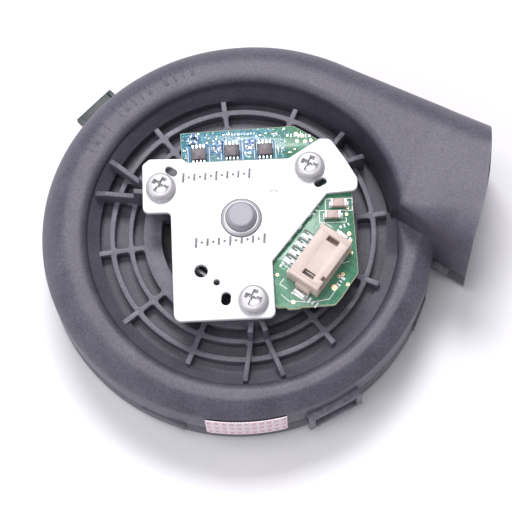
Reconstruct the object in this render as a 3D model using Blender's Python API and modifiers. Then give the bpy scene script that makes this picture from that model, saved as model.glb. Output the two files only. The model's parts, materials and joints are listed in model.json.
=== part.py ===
# Small centrifugal suction blower: two-shell scroll housing, closed impeller on an
# outer-rotor motor, motor plate, circuit board and side-entry header.
# Lengths below are in millimetres in the motor's frame (origin on the motor axis at
# the top of the well's ribs) and are turned into metres when the meshes are made.
import bpy
import bmesh
import math
from mathutils import Vector, Matrix

for ob in list(bpy.data.objects):
    bpy.data.objects.remove(ob, do_unlink=True)

MM = 0.001

# ------------------------------------------------------------------ dimensions
MOTOR_X = -4.452         # motor axis in the part's frame
MOTOR_Y = -1.171
RIB_TOP = 18.0           # rib tops above the inlet face
GAP = 0.3                # clearance between touching pieces

WALL = 1.5
R_RIM = 30.7             # ridge round the well
R_FLOOR = 28.4           # outer edge of the well's floor
R_HOLE = 16.1            # motor opening in the floor
R_LAND = 19.7
RING_C = (21.7, 22.7)
RING_A = (25.3, 26.4)
Z_PART = -10.0           # parting plane of the shells
Z_BASE = -18.0
Z_FLOOR = -2.5
Z_FLOOR_BOTTOM = -3.9
SPOKE_START = 8.0        # first spoke's angle, 30 degrees apart
SPOKE_W = 1.05
SHORT_SPOKES = (8.0, 248.0, 308.0, 338.0)   # these stop at the foot of the well's wall

A_TANGENT = 62.5         # where the outer wall leaves the scroll for the duct
OUT_N = (49.35, 20.6)     # outlet's north and south ends in plan
OUT_S = (44.3, -6.5)
RIM_END = 4.5            # angle where the duct's south wall leaves the rim
ROOF_TOP = 10.3
END_BULGE = 1.1

R_SCREWS = 16.9
SCREW_ANGLES = (38.0, 158.0, 278.0)
R_TOWER = 3.2
Z_PLATE = 8.0
T_PLATE = 1.0
Z_PCB_TOP = 7.7
T_PCB = 1.0

R_INLET = 15.3
R_IMP = 29.3
N_BLADES = 9
N_SLOTS = 9

# outer wall radius by angle (degrees counter-clockwise from the duct side)
WALL_R = [(-2, 37.65), (-12, 37.6), (-25, 37.3), (-45, 37.2), (-60, 37.2), (-75, 37.3), (-90, 37.5),
          (-105, 37.8), (-120, 38.2), (-135, 38.7), (-150, 39.3), (-165, 39.8), (-180, 40.1), (-195, 40.35),
          (-210, 40.45), (-230, 40.4), (-240, 40.3), (-260, 40.3), (-270, 40.4), (-285, 40.85), (-297.5, 41.25)]
RIM_Z = [(10, 0.4), (-20, 0.5), (-60, 0.8), (-90, 1.1), (-120, 1.6), (-150, 2.1), (-180, 2.7), (-210, 3.3),
         (-240, 3.8), (-270, 4.4), (-297.5, 5.6), (-330, 7.8), (-356, 9.6), (-360, 9.8)]
SHOULDER_W = [(10, 3.2), (-90, 3.3), (-135, 4.0), (-180, 4.8), (-225, 5.0), (-270, 5.6), (-297.5, 6.6), (-360, 7.5)]
SHOULDER_H = [(10, 2.6), (-90, 3.0), (-135, 4.2), (-180, 5.2), (-225, 5.8), (-270, 6.2), (-297.5, 7.6), (-360, 9.0)]
GUSSET_TOP = (4.2, 3.3, 0.95)
GUSSET_LEN = (9.4, 11.3, 11.5)
GUSSET_SPREAD = 16.0


def table(rows, a):
    """Smooth curve through (angle, value) rows that run downwards in angle."""
    if a >= rows[0][0]:
        return rows[0][1]
    if a <= rows[-1][0]:
        return rows[-1][1]
    k = 0
    while a < rows[k + 1][0]:
        k += 1

    def slope(i):
        j0, j1 = max(i - 1, 0), min(i + 1, len(rows) - 1)
        return (rows[j1][1] - rows[j0][1]) / (rows[j1][0] - rows[j0][0])
    (a0, v0), (a1, v1) = rows[k], rows[k + 1]
    h = a1 - a0
    t = (a - a0) / h
    m0, m1 = slope(k) * h, slope(k + 1) * h
    return ((2 * t ** 3 - 3 * t ** 2 + 1) * v0 + (t ** 3 - 2 * t ** 2 + t) * m0
            + (-2 * t ** 3 + 3 * t ** 2) * v1 + (t ** 3 - t ** 2) * m1)


def polar(r, a, z=None):
    x, y = r * math.cos(math.radians(a)), r * math.sin(math.radians(a))
    return Vector((x, y)) if z is None else Vector((x, y, z))


# ------------------------------------------------------------------ scene helpers
parts_col = bpy.data.collections.new("suction_blower")
cut_col = bpy.data.collections.new("cutters")
bpy.context.scene.collection.children.link(parts_col)
bpy.context.scene.collection.children.link(cut_col)

axis_empty = bpy.data.objects.new("motor_frame", None)
axis_empty.location = (MOTOR_X * MM, MOTOR_Y * MM, RIB_TOP * MM)
parts_col.objects.link(axis_empty)
rotor_empty = bpy.data.objects.new("rotor_axis", None)
rotor_empty.parent = axis_empty
parts_col.objects.link(rotor_empty)


def material(name, rgb, rough, metal=0.0):
    m = bpy.data.materials.new(name)
    m.use_nodes = True
    b = m.node_tree.nodes["Principled BSDF"]
    b.inputs["Base Color"].default_value = (rgb[0], rgb[1], rgb[2], 1.0)
    b.inputs["Roughness"].default_value = rough
    b.inputs["Metallic"].default_value = metal
    m.diffuse_color = (rgb[0], rgb[1], rgb[2], 1.0)
    return m


PLASTIC = material("housing_plastic", (0.09, 0.088, 0.105), 0.55)
PLASTIC_LOW = material("lower_plastic", (0.075, 0.074, 0.09), 0.55)
ZINC = material("bright_zinc", (0.82, 0.82, 0.84), 0.3, 0.9)
SCREW = material("screw_steel", (0.7, 0.7, 0.72), 0.25, 1.0)
GREEN = material("board_green", (0.05, 0.27, 0.15), 0.4)
BEIGE = material("header_nylon", (0.85, 0.72, 0.63), 0.5)
TIN = material("tinned_contact", (0.75, 0.74, 0.72), 0.3, 1.0)
CHIP = material("chip_epoxy", (0.03, 0.022, 0.035), 0.45)
CERAMIC = material("capacitor_ceramic", (0.5, 0.32, 0.3), 0.5)
RESISTOR = material("small_passive", (0.12, 0.1, 0.12), 0.45)
PAPER = material("label_paper", (0.85, 0.8, 0.82), 0.6)
IMPELLER = material("impeller_plastic", (0.06, 0.06, 0.065), 0.5)
CUP = material("rotor_steel", (0.35, 0.35, 0.36), 0.35, 1.0)
MAGNET = material("magnet_ferrite", (0.05, 0.05, 0.052), 0.6)
STEEL = material("bearing_steel", (0.6, 0.6, 0.61), 0.25, 1.0)
BRASS = material("tube_brass", (0.72, 0.55, 0.25), 0.3, 1.0)
CORE = material("lamination_steel", (0.4, 0.4, 0.41), 0.4, 1.0)
ENAMEL = material("coil_enamel", (0.55, 0.22, 0.08), 0.35, 0.6)
INSULATOR = material("insulator_nylon", (0.75, 0.73, 0.68), 0.5)


def add_object(name, data, mat=None, cutter=False, parent=None):
    ob = bpy.data.objects.new(name, data)
    ob.parent = parent if parent is not None else axis_empty
    if cutter:
        cut_col.objects.link(ob)
        ob.hide_render = True
        ob.display_type = 'WIRE'
    else:
        parts_col.objects.link(ob)
    if mat is not None:
        data.materials.clear()
        data.materials.append(mat)
    return ob


def scaled(bm, name):
    bmesh.ops.scale(bm, vec=(MM, MM, MM), verts=bm.verts)
    bmesh.ops.recalc_face_normals(bm, faces=bm.faces)
    me = bpy.data.meshes.new(name)
    bm.to_mesh(me)
    bm.free()
    return me


def loft(name, stations, mat=None, cutter=False, parent=None, closed=False):
    """Skin over closed loops of equal length, with flat ends unless the loft is closed."""
    bm = bmesh.new()
    rows = [[bm.verts.new(p) for p in st] for st in stations]
    n = len(rows[0])
    pairs = list(zip(rows, rows[1:])) + ([(rows[-1], rows[0])] if closed else [])
    for a, b in pairs:
        for i in range(n):
            j = (i + 1) % n
            bm.faces.new((a[i], a[j], b[j], b[i]))
    if not closed:
        bm.faces.new(rows[0])
        bm.faces.new(rows[-1])
    return add_object(name, scaled(bm, name), mat, cutter, parent)


def turned(name, profile, steps=48, mat=None, cutter=False, parent=None, at=(0, 0, 0)):
    """Closed profile in X-Z, clockwise from its outer top, turned about Z."""
    me = bpy.data.meshes.new(name)
    me.from_pydata([(x * MM, 0.0, z * MM) for x, z in profile],
                   [(i, (i + 1) % len(profile)) for i in range(len(profile))], [])
    ob = add_object(name, me, mat, cutter, parent)
    ob.location = [c * MM for c in at]
    s = ob.modifiers.new("turn", 'SCREW')
    s.axis = 'Z'
    s.steps = steps
    s.render_steps = steps
    s.use_merge_vertices = True
    s.merge_threshold = 0.00001
    return ob


def shaft_turned(name, profile, steps=24, mat=None, cutter=False, parent=None, at=(0, 0, 0)):
    """Open profile that starts and ends on the axis, top to bottom down its outer side."""
    me = bpy.data.meshes.new(name)
    me.from_pydata([(x * MM, 0.0, z * MM) for x, z in profile],
                   [(i, i + 1) for i in range(len(profile) - 1)], [])
    ob = add_object(name, me, mat, cutter, parent)
    ob.location = [c * MM for c in at]
    s = ob.modifiers.new("turn", 'SCREW')
    s.axis = 'Z'
    s.steps = steps
    s.render_steps = steps
    s.use_merge_vertices = True
    s.merge_threshold = 0.00001
    return ob


def block(name, size, at=(0, 0, 0), turn=0.0, tilt=0.0, mat=None, cutter=False, parent=None, bevel=0.0):
    bm = bmesh.new()
    bmesh.ops.create_cube(bm, size=1.0)
    bmesh.ops.scale(bm, vec=[s * MM for s in size], verts=bm.verts)
    me = bpy.data.meshes.new(name)
    bm.to_mesh(me)
    bm.free()
    ob = add_object(name, me, mat, cutter, parent)
    ob.location = [c * MM for c in at]
    ob.rotation_euler = (0.0, math.radians(tilt), math.radians(turn))
    if bevel:
        b = ob.modifiers.new("edges", 'BEVEL')
        b.width = bevel * MM
        b.segments = 1
        b.limit_method = 'ANGLE'
    return ob


def rounded(points, radii, seg=3):
    """Outline with its corners rounded: one radius for each point."""
    out = []
    n = len(points)
    for i in range(n):
        p0, p, p1 = Vector(points[i - 1]), Vector(points[i]), Vector(points[(i + 1) % n])
        r = radii[i] if isinstance(radii, (list, tuple)) else radii
        if r <= 0:
            out.append(p)
            continue
        d0, d1 = (p0 - p).normalized(), (p1 - p).normalized()
        half = d0.angle(d1) / 2
        t = min(r / math.tan(half), (p0 - p).length * 0.48, (p1 - p).length * 0.48)
        r = t * math.tan(half)
        c = p + (d0 + d1).normalized() * (r / math.sin(half))
        a0, a1 = (p + d0 * t) - c, (p + d1 * t) - c
        for k in range(seg + 1):
            f = k / seg
            v = a0 * math.sin((1 - f) * a0.angle(a1)) + a1 * math.sin(f * a0.angle(a1))
            out.append(c + v.normalized() * r)
    return out


def circle_pts(r, n, cx=0.0, cy=0.0, start=0.0):
    return [Vector((cx + r * math.cos(2 * math.pi * i / n + start), cy + r * math.sin(2 * math.pi * i / n + start)))
            for i in range(n)]


def flat_plate(name, loops, z0, z1, mat=None, cutter=False, parent=None):
    """Flat outline with holes, as a filled 2D curve that becomes a welded mesh."""
    cu = bpy.data.curves.new(name + "_outline", 'CURVE')
    cu.dimensions = '2D'
    cu.fill_mode = 'BOTH'
    cu.extrude = (z1 - z0) / 2 * MM
    for lp in loops:
        sp = cu.splines.new('POLY')
        sp.points.add(len(lp) - 1)
        for i, p in enumerate(lp):
            sp.points[i].co = (p[0] * MM, p[1] * MM, 0.0, 1.0)
        sp.use_cyclic_u = True
    tmp = bpy.data.objects.new(name + "_outline", cu)
    bpy.context.scene.collection.objects.link(tmp)
    bpy.context.view_layer.update()
    me = bpy.data.meshes.new_from_object(tmp.evaluated_get(bpy.context.evaluated_depsgraph_get()))
    me.name = name
    bm = bmesh.new()
    bm.from_mesh(me)
    bmesh.ops.remove_doubles(bm, verts=bm.verts, dist=0.000001)
    bmesh.ops.recalc_face_normals(bm, faces=bm.faces)
    bmesh.ops.translate(bm, vec=(0, 0, (z0 + z1) / 2 * MM), verts=bm.verts)
    bm.to_mesh(me)
    bm.free()
    bpy.data.objects.remove(tmp, do_unlink=True)
    bpy.data.curves.remove(cu)
    return add_object(name, me, mat, cutter, parent)


def join_to(ob, other, operation='UNION'):
    m = ob.modifiers.new(operation.lower(), 'BOOLEAN')
    m.operation = operation
    m.object = other
    m.solver = 'EXACT'
    return m


def cut_from(ob, other):
    return join_to(ob, other, 'DIFFERENCE')


def smooth(ob, angle=35):
    for p in ob.data.polygons:
        p.use_smooth = True
    ob.data.set_sharp_from_angle(angle=math.radians(angle))


# ------------------------------------------------------------------ housing shells
FOOT = Z_PART + GAP / 2


def shell_section(inner, outer, top, sw, sh, rw, rh, foot_x, foot_z1, foot_z2, out_foot=None, bulge=None):
    """Closed section of the roofed channel between two plan points."""
    inner, outer = Vector(inner), Vector(outer)
    u = (outer - inner).normalized()
    length = (outer - inner).length
    t = WALL
    pts = [(length, FOOT)]
    for k in range(4):
        a = math.pi / 2 * k / 3
        pts.append((length - sw + sw * math.cos(a), top - sh + sh * math.sin(a)))
    for k in range(3):
        a = math.pi / 2 * k / 2
        pts.append((rw - rw * math.sin(a), top - rh + rh * math.cos(a)))
    pts += [(foot_x, foot_z1), (foot_x, foot_z2)]
    pts += [(foot_x + t, foot_z2), (foot_x + t, foot_z1 - 0.5)]
    ri_w, ri_h = max(rw - t, 0.4), max(rh - t, 0.4)
    for k in range(3):
        a = math.pi / 2 * (2 - k) / 2
        pts.append((t + ri_w - ri_w * math.sin(a), top - t - ri_h + ri_h * math.cos(a)))
    wi, hi = max(sw - t, 0.5), max(sh - t, 0.5)
    for k in range(4):
        a = math.pi / 2 * (3 - k) / 3
        pts.append((length - t - wi + wi * math.cos(a), top - t - hi + hi * math.sin(a)))
    pts.append((length - t, FOOT))
    out = []
    for s, z in pts:
        p = inner + u * s
        if bulge is not None:
            amount = END_BULGE * math.sin(math.pi * min(max(s / length, 0), 1)) * min(max((z + 6) / 10, 0), 1)
            p = p + bulge * amount
        out.append((p.x, p.y, z))
    return out


out_n, out_s = Vector(OUT_N), Vector(OUT_S)
out_dir = (out_n - out_s).normalized()
out_normal = Vector((out_dir.y, -out_dir.x))
rim_end = polar(R_RIM, RIM_END)
south_dir = (out_s - rim_end).normalized()
south_normal = Vector((-south_dir.y, south_dir.x))
tangent_pt = polar(table(WALL_R, A_TANGENT - 360), A_TANGENT)


def foot_height(top):
    """Height where the well's wall turns from upright to sloping."""
    return min(max(top - 2.2, -1.5), 0.2)


def scroll_station(a):
    inner = polar(R_RIM, a)
    outer = polar(table(WALL_R, a), a)
    top = table(RIM_Z, a)
    return shell_section(inner, outer, top, table(SHOULDER_W, a), table(SHOULDER_H, a),
                         0.5, 0.5, -(R_RIM - R_FLOOR), foot_height(top), -4.0)


scroll_rows = []
# the scroll starts inside the thickness of the duct's south wall
start_in = polar(R_RIM, 6.5)
start_out = rim_end + south_dir * 8.45 + south_normal * 0.75
scroll_rows.append(shell_section(start_in, start_out, table(RIM_Z, 0), 3.2, 2.6, 0.5, 0.5, -2.0, -1.6, -3.8))
scroll_angles = [-7 - 9 * i for i in range(32)] + [A_TANGENT - 360]
for a in scroll_angles:
    scroll_rows.append(scroll_station(a))

duct_rows = [scroll_station(A_TANGENT - 360)]
rim_steps = [52, 41, 30, 19, 10, RIM_END]
wall_fr = [0.13, 0.26, 0.40, 0.54, 0.66, 0.74]
for a, f in zip(rim_steps, wall_fr):
    inner = polar(R_RIM, a)
    outer = tangent_pt.lerp(out_n, f)
    last = a == RIM_END
    duct_rows.append(shell_section(inner, outer, table(RIM_Z, a - 360), table(SHOULDER_W, a - 360),
                                   table(SHOULDER_H, a - 360),
                                   1.2 if last else 0.5, 1.2 if last else 0.5,
                                   0.0 if last else -(R_RIM - R_FLOOR),
                                   -6.0 if last else foot_height(table(RIM_Z, a - 360)), FOOT if last else -4.0))
for k, f in ((0.25, 0.81), (0.5, 0.87), (0.75, 0.935), (1.0, 1.0)):
    inner = rim_end.lerp(out_s, k)
    outer = tangent_pt.lerp(out_n, f)
    r = 1.2 + 5.8 * min(k * 1.4, 1.0)
    duct_rows.append(shell_section(inner, outer, ROOF_TOP + 0.4 * k, 7.5, 9.0, r, r, 0.0, -6.0, FOOT,
                                   bulge=out_normal if k == 1.0 else None))

upper = loft("upper_shell", scroll_rows + duct_rows[1:], PLASTIC)

# floor disc of the well, with the collar of the motor opening
floor = turned("well_floor", [(29.3, Z_FLOOR + 0.02), (29.3, Z_FLOOR_BOTTOM), (R_HOLE + 0.4, Z_FLOOR_BOTTOM),
                              (R_HOLE + 0.4, Z_FLOOR + 0.02)], steps=48, cutter=True)
# the scroll's start lies inside the duct's wall, so this union also merges the shell with itself
join_to(upper, floor).use_self = True

# ring ribs and pockets
rib_loops = [circle_pts(RING_A[1], 60), circle_pts(R_HOLE, 48)]


def pocket(r0, r1, a0, a1, seg=3):
    pts = [polar(r1, a0 + (a1 - a0) * k / seg) for k in range(seg + 1)]
    pts += [polar(r0, a1 - (a1 - a0) * k / seg) for k in range(seg + 1)]
    return pts


def tower_gap(r):
    """Half the angle between the two gussets of a tower at radius r."""
    return math.degrees(math.asin((r - R_SCREWS) * math.tan(math.radians(GUSSET_SPREAD)) / r))


pocket_spans = []
for i in range(12):
    a0 = SPOKE_START + 30 * i
    a1 = a0 + 30
    pocket_spans.append((a0, a1))
for row, (r0, r1) in enumerate(((R_LAND, RING_C[0]), (RING_C[1], RING_A[0]))):
    rm = (r0 + r1) / 2
    for a0, a1 in pocket_spans:
        e0 = e1 = math.degrees(SPOKE_W / 2 / rm)
        for sa in SCREW_ANGLES:
            if abs((a0 - sa + 180) % 360 - 180) < 1:
                e0 = tower_gap(rm) + math.degrees(SPOKE_W / 2 / rm)
            if abs((a1 - sa + 180) % 360 - 180) < 1:
                e1 = tower_gap(rm) + math.degrees(SPOKE_W / 2 / rm)
        rib_loops.append(pocket(r0, r1, a0 + e0, a1 - e1))
for sa in SCREW_ANGLES:
    r0, r1 = RING_C[1], RING_A[0]
    h = tower_gap((r0 + r1) / 2) - math.degrees(SPOKE_W / 2 / r0)
    rib_loops.append(pocket(r0, r1, sa - h, sa + h, seg=2))
ribs = flat_plate("well_ribs", rib_loops, Z_FLOOR - 0.2, 0.0, cutter=True)
join_to(upper, ribs)

# spokes from the outer ring rib to the well's wall
for i in range(12):
    a = SPOKE_START + 30 * i
    if any(abs((a - sa + 180) % 360 - 180) < 1 for sa in SCREW_ANGLES):
        continue
    r_end = 28.7 if a in SHORT_SPOKES else 29.55
    p = polar((25.65 + r_end) / 2, a)
    spoke = block("spoke_%d" % i, (r_end - 25.65, SPOKE_W, 2.7), (p.x, p.y, -1.37), turn=a, cutter=True)
    join_to(upper, spoke)

# screw towers with their gussets
for k, sa in enumerate(SCREW_ANGLES):
    c = polar(R_SCREWS, sa)
    tower = shaft_turned("tower_%d" % k, [(0, -0.5), (1.75, -0.5), (1.75, Z_PLATE - GAP), (R_TOWER, Z_PLATE - GAP),
                                          (R_TOWER + 0.25, -2.62), (0, -2.62)],
                         steps=16, cutter=True, at=(c.x, c.y, 0))
    join_to(upper, tower)
    for side in (-1, 1):
        d = sa + side * GUSSET_SPREAD
        u = polar(1, d)
        length = GUSSET_LEN[k]
        mid = c + u * (length / 2 + 2.2)
        tall = GUSSET_TOP[k] + 2.6
        g = block("gusset_%d_%d" % (k, side), (length, 1.0, tall), (mid.x, mid.y, GUSSET_TOP[k] - tall / 2), turn=d, cutter=True)
        join_to(upper, g)
        stub_mid = c + u * 4.0
        st = block("gusset_stub_%d_%d" % (k, side), (3.4, 0.84, 6.9), (stub_mid.x, stub_mid.y, 2.85), turn=d, cutter=True)
        join_to(upper, st)

# outline of the lower shell: scroll wall, duct walls, run on past the outlet
corner_t = None
lower_outline = []
t_line = 0.0
while (rim_end + south_dir * t_line).length < table(WALL_R, -3.4):
    t_line += 0.05
corner = rim_end + south_dir * t_line
lower_outline.append(corner)
a = -7
while a > A_TANGENT - 360:
    lower_outline.append(polar(table(WALL_R, a), a))
    a -= 9
north_dir = (out_n - tangent_pt).normalized()
lower_outline += [tangent_pt, tangent_pt.lerp(out_n, 0.4), tangent_pt.lerp(out_n, 0.8),
                  out_n + north_dir * 9.0, out_s + south_dir * 9.0, corner.lerp(out_s, 0.5)]


def inset(points, d):
    """Outline moved inwards by d with mitred corners; points run clockwise."""
    out = []
    n = len(points)
    for i in range(n):
        p0, p, p1 = points[i - 1], points[i], points[(i + 1) % n]
        e0, e1 = (p - p0).normalized(), (p1 - p).normalized()
        n0, n1 = Vector((e0.y, -e0.x)), Vector((e1.y, -e1.x))
        m = (n0 + n1).normalized()
        out.append(p + m * (d / max(m.dot(n0), 0.3)))
    return out


def ring(points, d, z):
    return [(p.x, p.y, z) for p in inset(points, d)]


LOW_TOP = Z_PART - GAP / 2
edge = 3.2
outer_rings = [ring(lower_outline, 0.0, LOW_TOP)]
for k in range(5):
    a = math.pi / 2 * k / 4
    outer_rings.append(ring(lower_outline, edge - edge * math.cos(a), Z_BASE + edge - edge * math.sin(a)))
lower = loft("lower_shell", outer_rings, PLASTIC_LOW)
wide = [Vector((p.x, p.y)) for p in lower_outline]
wide[-3] = wide[-3] + north_dir * 3.0
wide[-2] = wide[-2] + south_dir * 3.0
cav_rings = [ring(wide, WALL, LOW_TOP + 2.0), ring(wide, WALL, Z_BASE + WALL + 1.8)]
for k in range(1, 4):
    a = math.pi / 2 * k / 3
    cav_rings.append(ring(wide, WALL + 1.8 - 1.8 * math.cos(a), Z_BASE + WALL + 1.8 - 1.8 * math.sin(a)))
cavity = loft("lower_cavity", cav_rings, cutter=True)
cut_from(lower, cavity)
beyond = block("outlet_trim", (20, 80, 60), turn=math.degrees(math.atan2(out_normal.y, out_normal.x)), cutter=True)
mid_out = (out_n + out_s) / 2 + out_normal * 10.0
beyond.location = (mid_out.x * MM, mid_out.y * MM, 0)
cut_from(lower, beyond)
inlet_hole = shaft_turned("inlet_hole", [(0, -14.0), (R_INLET + 0.7, -14.0), (R_INLET + 0.7, -19.0), (0, -19.0)], steps=40,
                          cutter=True)
cut_from(lower, inlet_hole)
inlet_lip = turned("inlet_lip", [(R_INLET + 0.6, -14.6), (R_INLET + 1.2, -15.6), (R_INLET + 1.7, -16.9), (R_INLET + 1.7, -17.6),
                                 (R_INLET - 0.1, -17.2), (R_INLET - 0.5, -16.0), (R_INLET - 0.1, -14.7)], steps=40, cutter=True)
join_to(lower, inlet_lip)
tongue_mid = rim_end.lerp(corner, 0.55) + south_normal * 0.8
tongue = block("tongue_wall", ((corner - rim_end).length * 0.95, 1.4, 7.0), (tongue_mid.x, tongue_mid.y, -13.75),
               turn=math.degrees(math.atan2(south_dir.y, south_dir.x)), cutter=True)
join_to(lower, tongue)
# flange at the root of the tongue, in the corner between scroll and duct
web = block("tongue_flange", (5.6, 1.6, 1.2), turn=math.degrees(math.atan2(south_dir.y, south_dir.x)), cutter=True)
web_mid = corner + south_dir * 1.6 - south_normal * 0.5
web.location = (web_mid.x * MM, web_mid.y * MM, (LOW_TOP - 0.85) * MM)
join_to(lower, web)

# snap loop of the upper shell over the catch of the lower shell
loop_a = -62.0
lr = table(WALL_R, loop_a)
loop_u, loop_v = polar(1, loop_a), polar(1, loop_a + 90)
for n, side in enumerate((-1, 1)):
    p = loop_u * (lr + 0.85) + loop_v * (5.2 * side)
    leg = block("loop_leg_%d" % n, (1.0, 1.3, 6.6), (p.x, p.y, -9.8), turn=loop_a, cutter=True)
    join_to(upper, leg)
p = loop_u * (lr + 0.87)
bar = block("loop_bar", (1.06, 11.74, 1.4), (p.x, p.y, -12.9), turn=loop_a, cutter=True)
join_to(upper, bar)
p = polar(lr + 0.3, loop_a)
root_bar = block("loop_root", (1.9, 11.6, 1.3), (p.x, p.y, -7.1), turn=loop_a, cutter=True)
join_to(upper, root_bar)
p = polar(lr - 0.05, loop_a)
catch = block("loop_catch", (1.5, 6.0, 1.5), (p.x, p.y, -11.05), turn=loop_a, cutter=True)
join_to(lower, catch)
# side tab of the upper shell, and flush catch pads of the lower shell
p = polar(table(WALL_R, -225) + 1.3, -225)
tab = block("side_tab", (5.0, 9.4, 1.6), (p.x, p.y, -8.6), turn=-225, cutter=True)
join_to(upper, tab)
for n, (pa, w) in enumerate(((-181, 9.6), (-115, 9.6), (-21, 7.0))):
    p = polar(table(WALL_R, pa) - 0.4, pa)
    pad = block("catch_pad_%d" % n, (1.3, w, 2.6), (p.x, p.y, -11.7), turn=pa, cutter=True)
    join_to(lower, pad)

# ------------------------------------------------------------------ impeller and rotor
imp = shaft_turned("impeller", [(0, -5.0), (R_IMP, -5.0), (R_IMP, -6.2), (6.5, -6.2), (4.0, -9.5), (0, -9.5)],
                   steps=40, mat=IMPELLER, parent=rotor_empty)


def blade_outline():
    pts_out, pts_in = [], []
    for k in range(5):
        f = k / 4
        r = 15.8 + (R_IMP - 0.3 - 15.8) * f
        a = -38.0 * f ** 0.9
        n = polar(0.5, a + 90 - 25)
        c = polar(r, a)
        pts_out.append(c + n)
        pts_in.append(c - n)
    return pts_out + pts_in[::-1]


blade_line = blade_outline()
for k in range(N_BLADES):
    rot = Matrix.Rotation(2 * math.pi * k / N_BLADES, 2)
    blade = flat_plate("blade_%d" % k, [[rot @ p for p in blade_line]], -13.0, -6.0, cutter=True, parent=rotor_empty)
    join_to(imp, blade)
imp_bore = shaft_turned("impeller_bore", [(0, -4.0), (1.5 + GAP, -4.0), (1.5 + GAP, -11.0), (0, -11.0)], steps=16,
                        cutter=True, parent=rotor_empty)
cut_from(imp, imp_bore)
turned("impeller_shroud", [(R_IMP, -13.3), (R_IMP, -14.1), (18.8, -15.1), (17.7, -15.8), (17.3, -15.8), (17.3, -15.0),
                           (18.4, -13.9), (19.8, -13.3)], steps=40, mat=IMPELLER, parent=rotor_empty)
cup = turned("rotor_cup", [(13.0, 6.2), (13.0, -3.9), (12.4, -4.5), (1.5 + GAP, -4.5), (1.5 + GAP, -3.4), (12.2, -3.4), (12.2, 6.2)],
             steps=36, mat=CUP, parent=rotor_empty)
turned("rotor_magnet", [(11.9, 5.9), (11.9, -1.0), (11.0, -1.0), (11.0, 5.9)], steps=36, mat=MAGNET, parent=rotor_empty)
shaft_turned("motor_shaft", [(0, 10.4), (1.2, 10.4), (1.5, 10.1), (1.5, -9.6), (1.2, -9.9), (0, -9.9)], steps=16, mat=STEEL,
             parent=rotor_empty)
for nm, z0 in (("upper", 4.4), ("lower", -2.2)):
    turned(nm + "_bearing_outer_ring", [(3.5, z0 + 3), (3.5, z0), (2.85, z0), (2.85, z0 + 3)], steps=20, mat=STEEL)
    turned(nm + "_bearing_inner_ring", [(2.35, z0 + 3), (2.35, z0), (1.5 + GAP, z0), (1.5 + GAP, z0 + 3)], steps=16,
           mat=STEEL, parent=rotor_empty)
turned("preload_washer", [(2.6, -2.55), (2.6, -2.85), (1.5 + GAP, -2.85), (1.5 + GAP, -2.55)], steps=16, mat=STEEL,
       parent=rotor_empty)
turned("bearing_tube", [(6.4, 7.7), (6.4, 7.0), (4.7, 6.8), (4.7, -2.3), (3.8, -2.3), (3.8, 7.7)], steps=24, mat=BRASS)

# ------------------------------------------------------------------ stator
core_loop = []
tooth_w, shoe = 1.8, 0.9
pitch = 360 / N_SLOTS
for i in range(N_SLOTS):
    a = pitch * i
    ru, rb = 10.5, 6.4
    half_shoe = pitch / 2 - 3.2
    ua, va = polar(1, a), polar(1, a + 90)
    core_loop.append(ua * rb - va * (tooth_w / 2))
    core_loop.append(ua * (ru - shoe - 0.25) - va * (tooth_w / 2))
    core_loop.append(polar(ru - shoe, a - half_shoe))
    for k in range(4):
        core_loop.append(polar(ru, a - half_shoe + 2 * half_shoe * k / 3))
    core_loop.append(polar(ru - shoe, a + half_shoe))
    core_loop.append(ua * (ru - shoe - 0.25) + va * (tooth_w / 2))
    core_loop.append(ua * rb + va * (tooth_w / 2))
flat_plate("stator_core", [core_loop, circle_pts(5.0, 24)], 0.8, 4.4, CORE)
for nm, z0, z1 in (("upper", 4.7, 5.1), ("lower", 0.1, 0.5)):
    flat_plate(nm + "_insulator", [circle_pts(6.2, 20), circle_pts(5.0, 20)], z0, z1, INSULATOR)
for i in range(N_SLOTS):
    a = pitch * i
    c = polar(7.9, a)
    coil = block("coil_%d" % (i + 1), (1.9, 3.6, 5.4), (c.x, c.y, 2.6), turn=a, mat=ENAMEL)
    hole = block("coil_%d_window" % (i + 1), (3.0, tooth_w + 2 * GAP, 3.6 + 2 * GAP), (c.x, c.y, 2.6), turn=a, cutter=True)
    cut_from(coil, hole)

# ------------------------------------------------------------------ motor plate and screws
plate_pts = [(-19.4, 11.2), (-18.0, 12.4), (-11.6, 12.45), (-10.5, 11.6), (9.2, 12.3), (15.3, 16.4), (17.4, 16.3),
             (20.2, 12.2), (22.6, 8.0), (22.6, 5.5), (16.6, 4.9), (6.0, -8.8), (6.6, -20.1), (-12.8, -20.8), (-13.7, 1.3),
             (-19.1, 1.2)]
plate_rad = [1.0, 1.0, 0.8, 0.8, 0.8, 1.0, 1.4, 1.2, 1.6, 1.3, 0.4, 0.5, 1.3, 1.5, 0.8, 1.2]
plate_loops = [rounded(plate_pts, plate_rad, 2)]
for sa in SCREW_ANGLES:
    c = polar(R_SCREWS, sa)
    plate_loops.append(circle_pts(1.75, 12, c.x, c.y))
for (x, y), turn, lx, ly in (((-13.7, 9.8), -34, 2.5, 1.5), ((15.4, 7.2), 24, 2.5, 1.5), ((-2.9, -16.3), 84, 2.6, 1.8)):
    pts = []
    for k in range(10):
        a = -math.pi / 2 + math.pi * k / 4 if k < 5 else math.pi / 2 + math.pi * (k - 5) / 4
        sx = (lx - ly) / 2 if k < 5 else -(lx - ly) / 2
        pts.append(Vector((sx + ly / 2 * math.cos(a), ly / 2 * math.sin(a))))
    rot = Matrix.Rotation(math.radians(turn), 2)
    plate_loops.append([rot @ p + Vector((x, y)) for p in pts])
plate_loops.append(circle_pts(1.25, 12, -7.7, -10.7))
plate_loops.append(circle_pts(0.6, 8, -4.7, -13.0))
plate = flat_plate("motor_plate", plate_loops, Z_PLATE, Z_PLATE + T_PLATE, ZINC)
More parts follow.
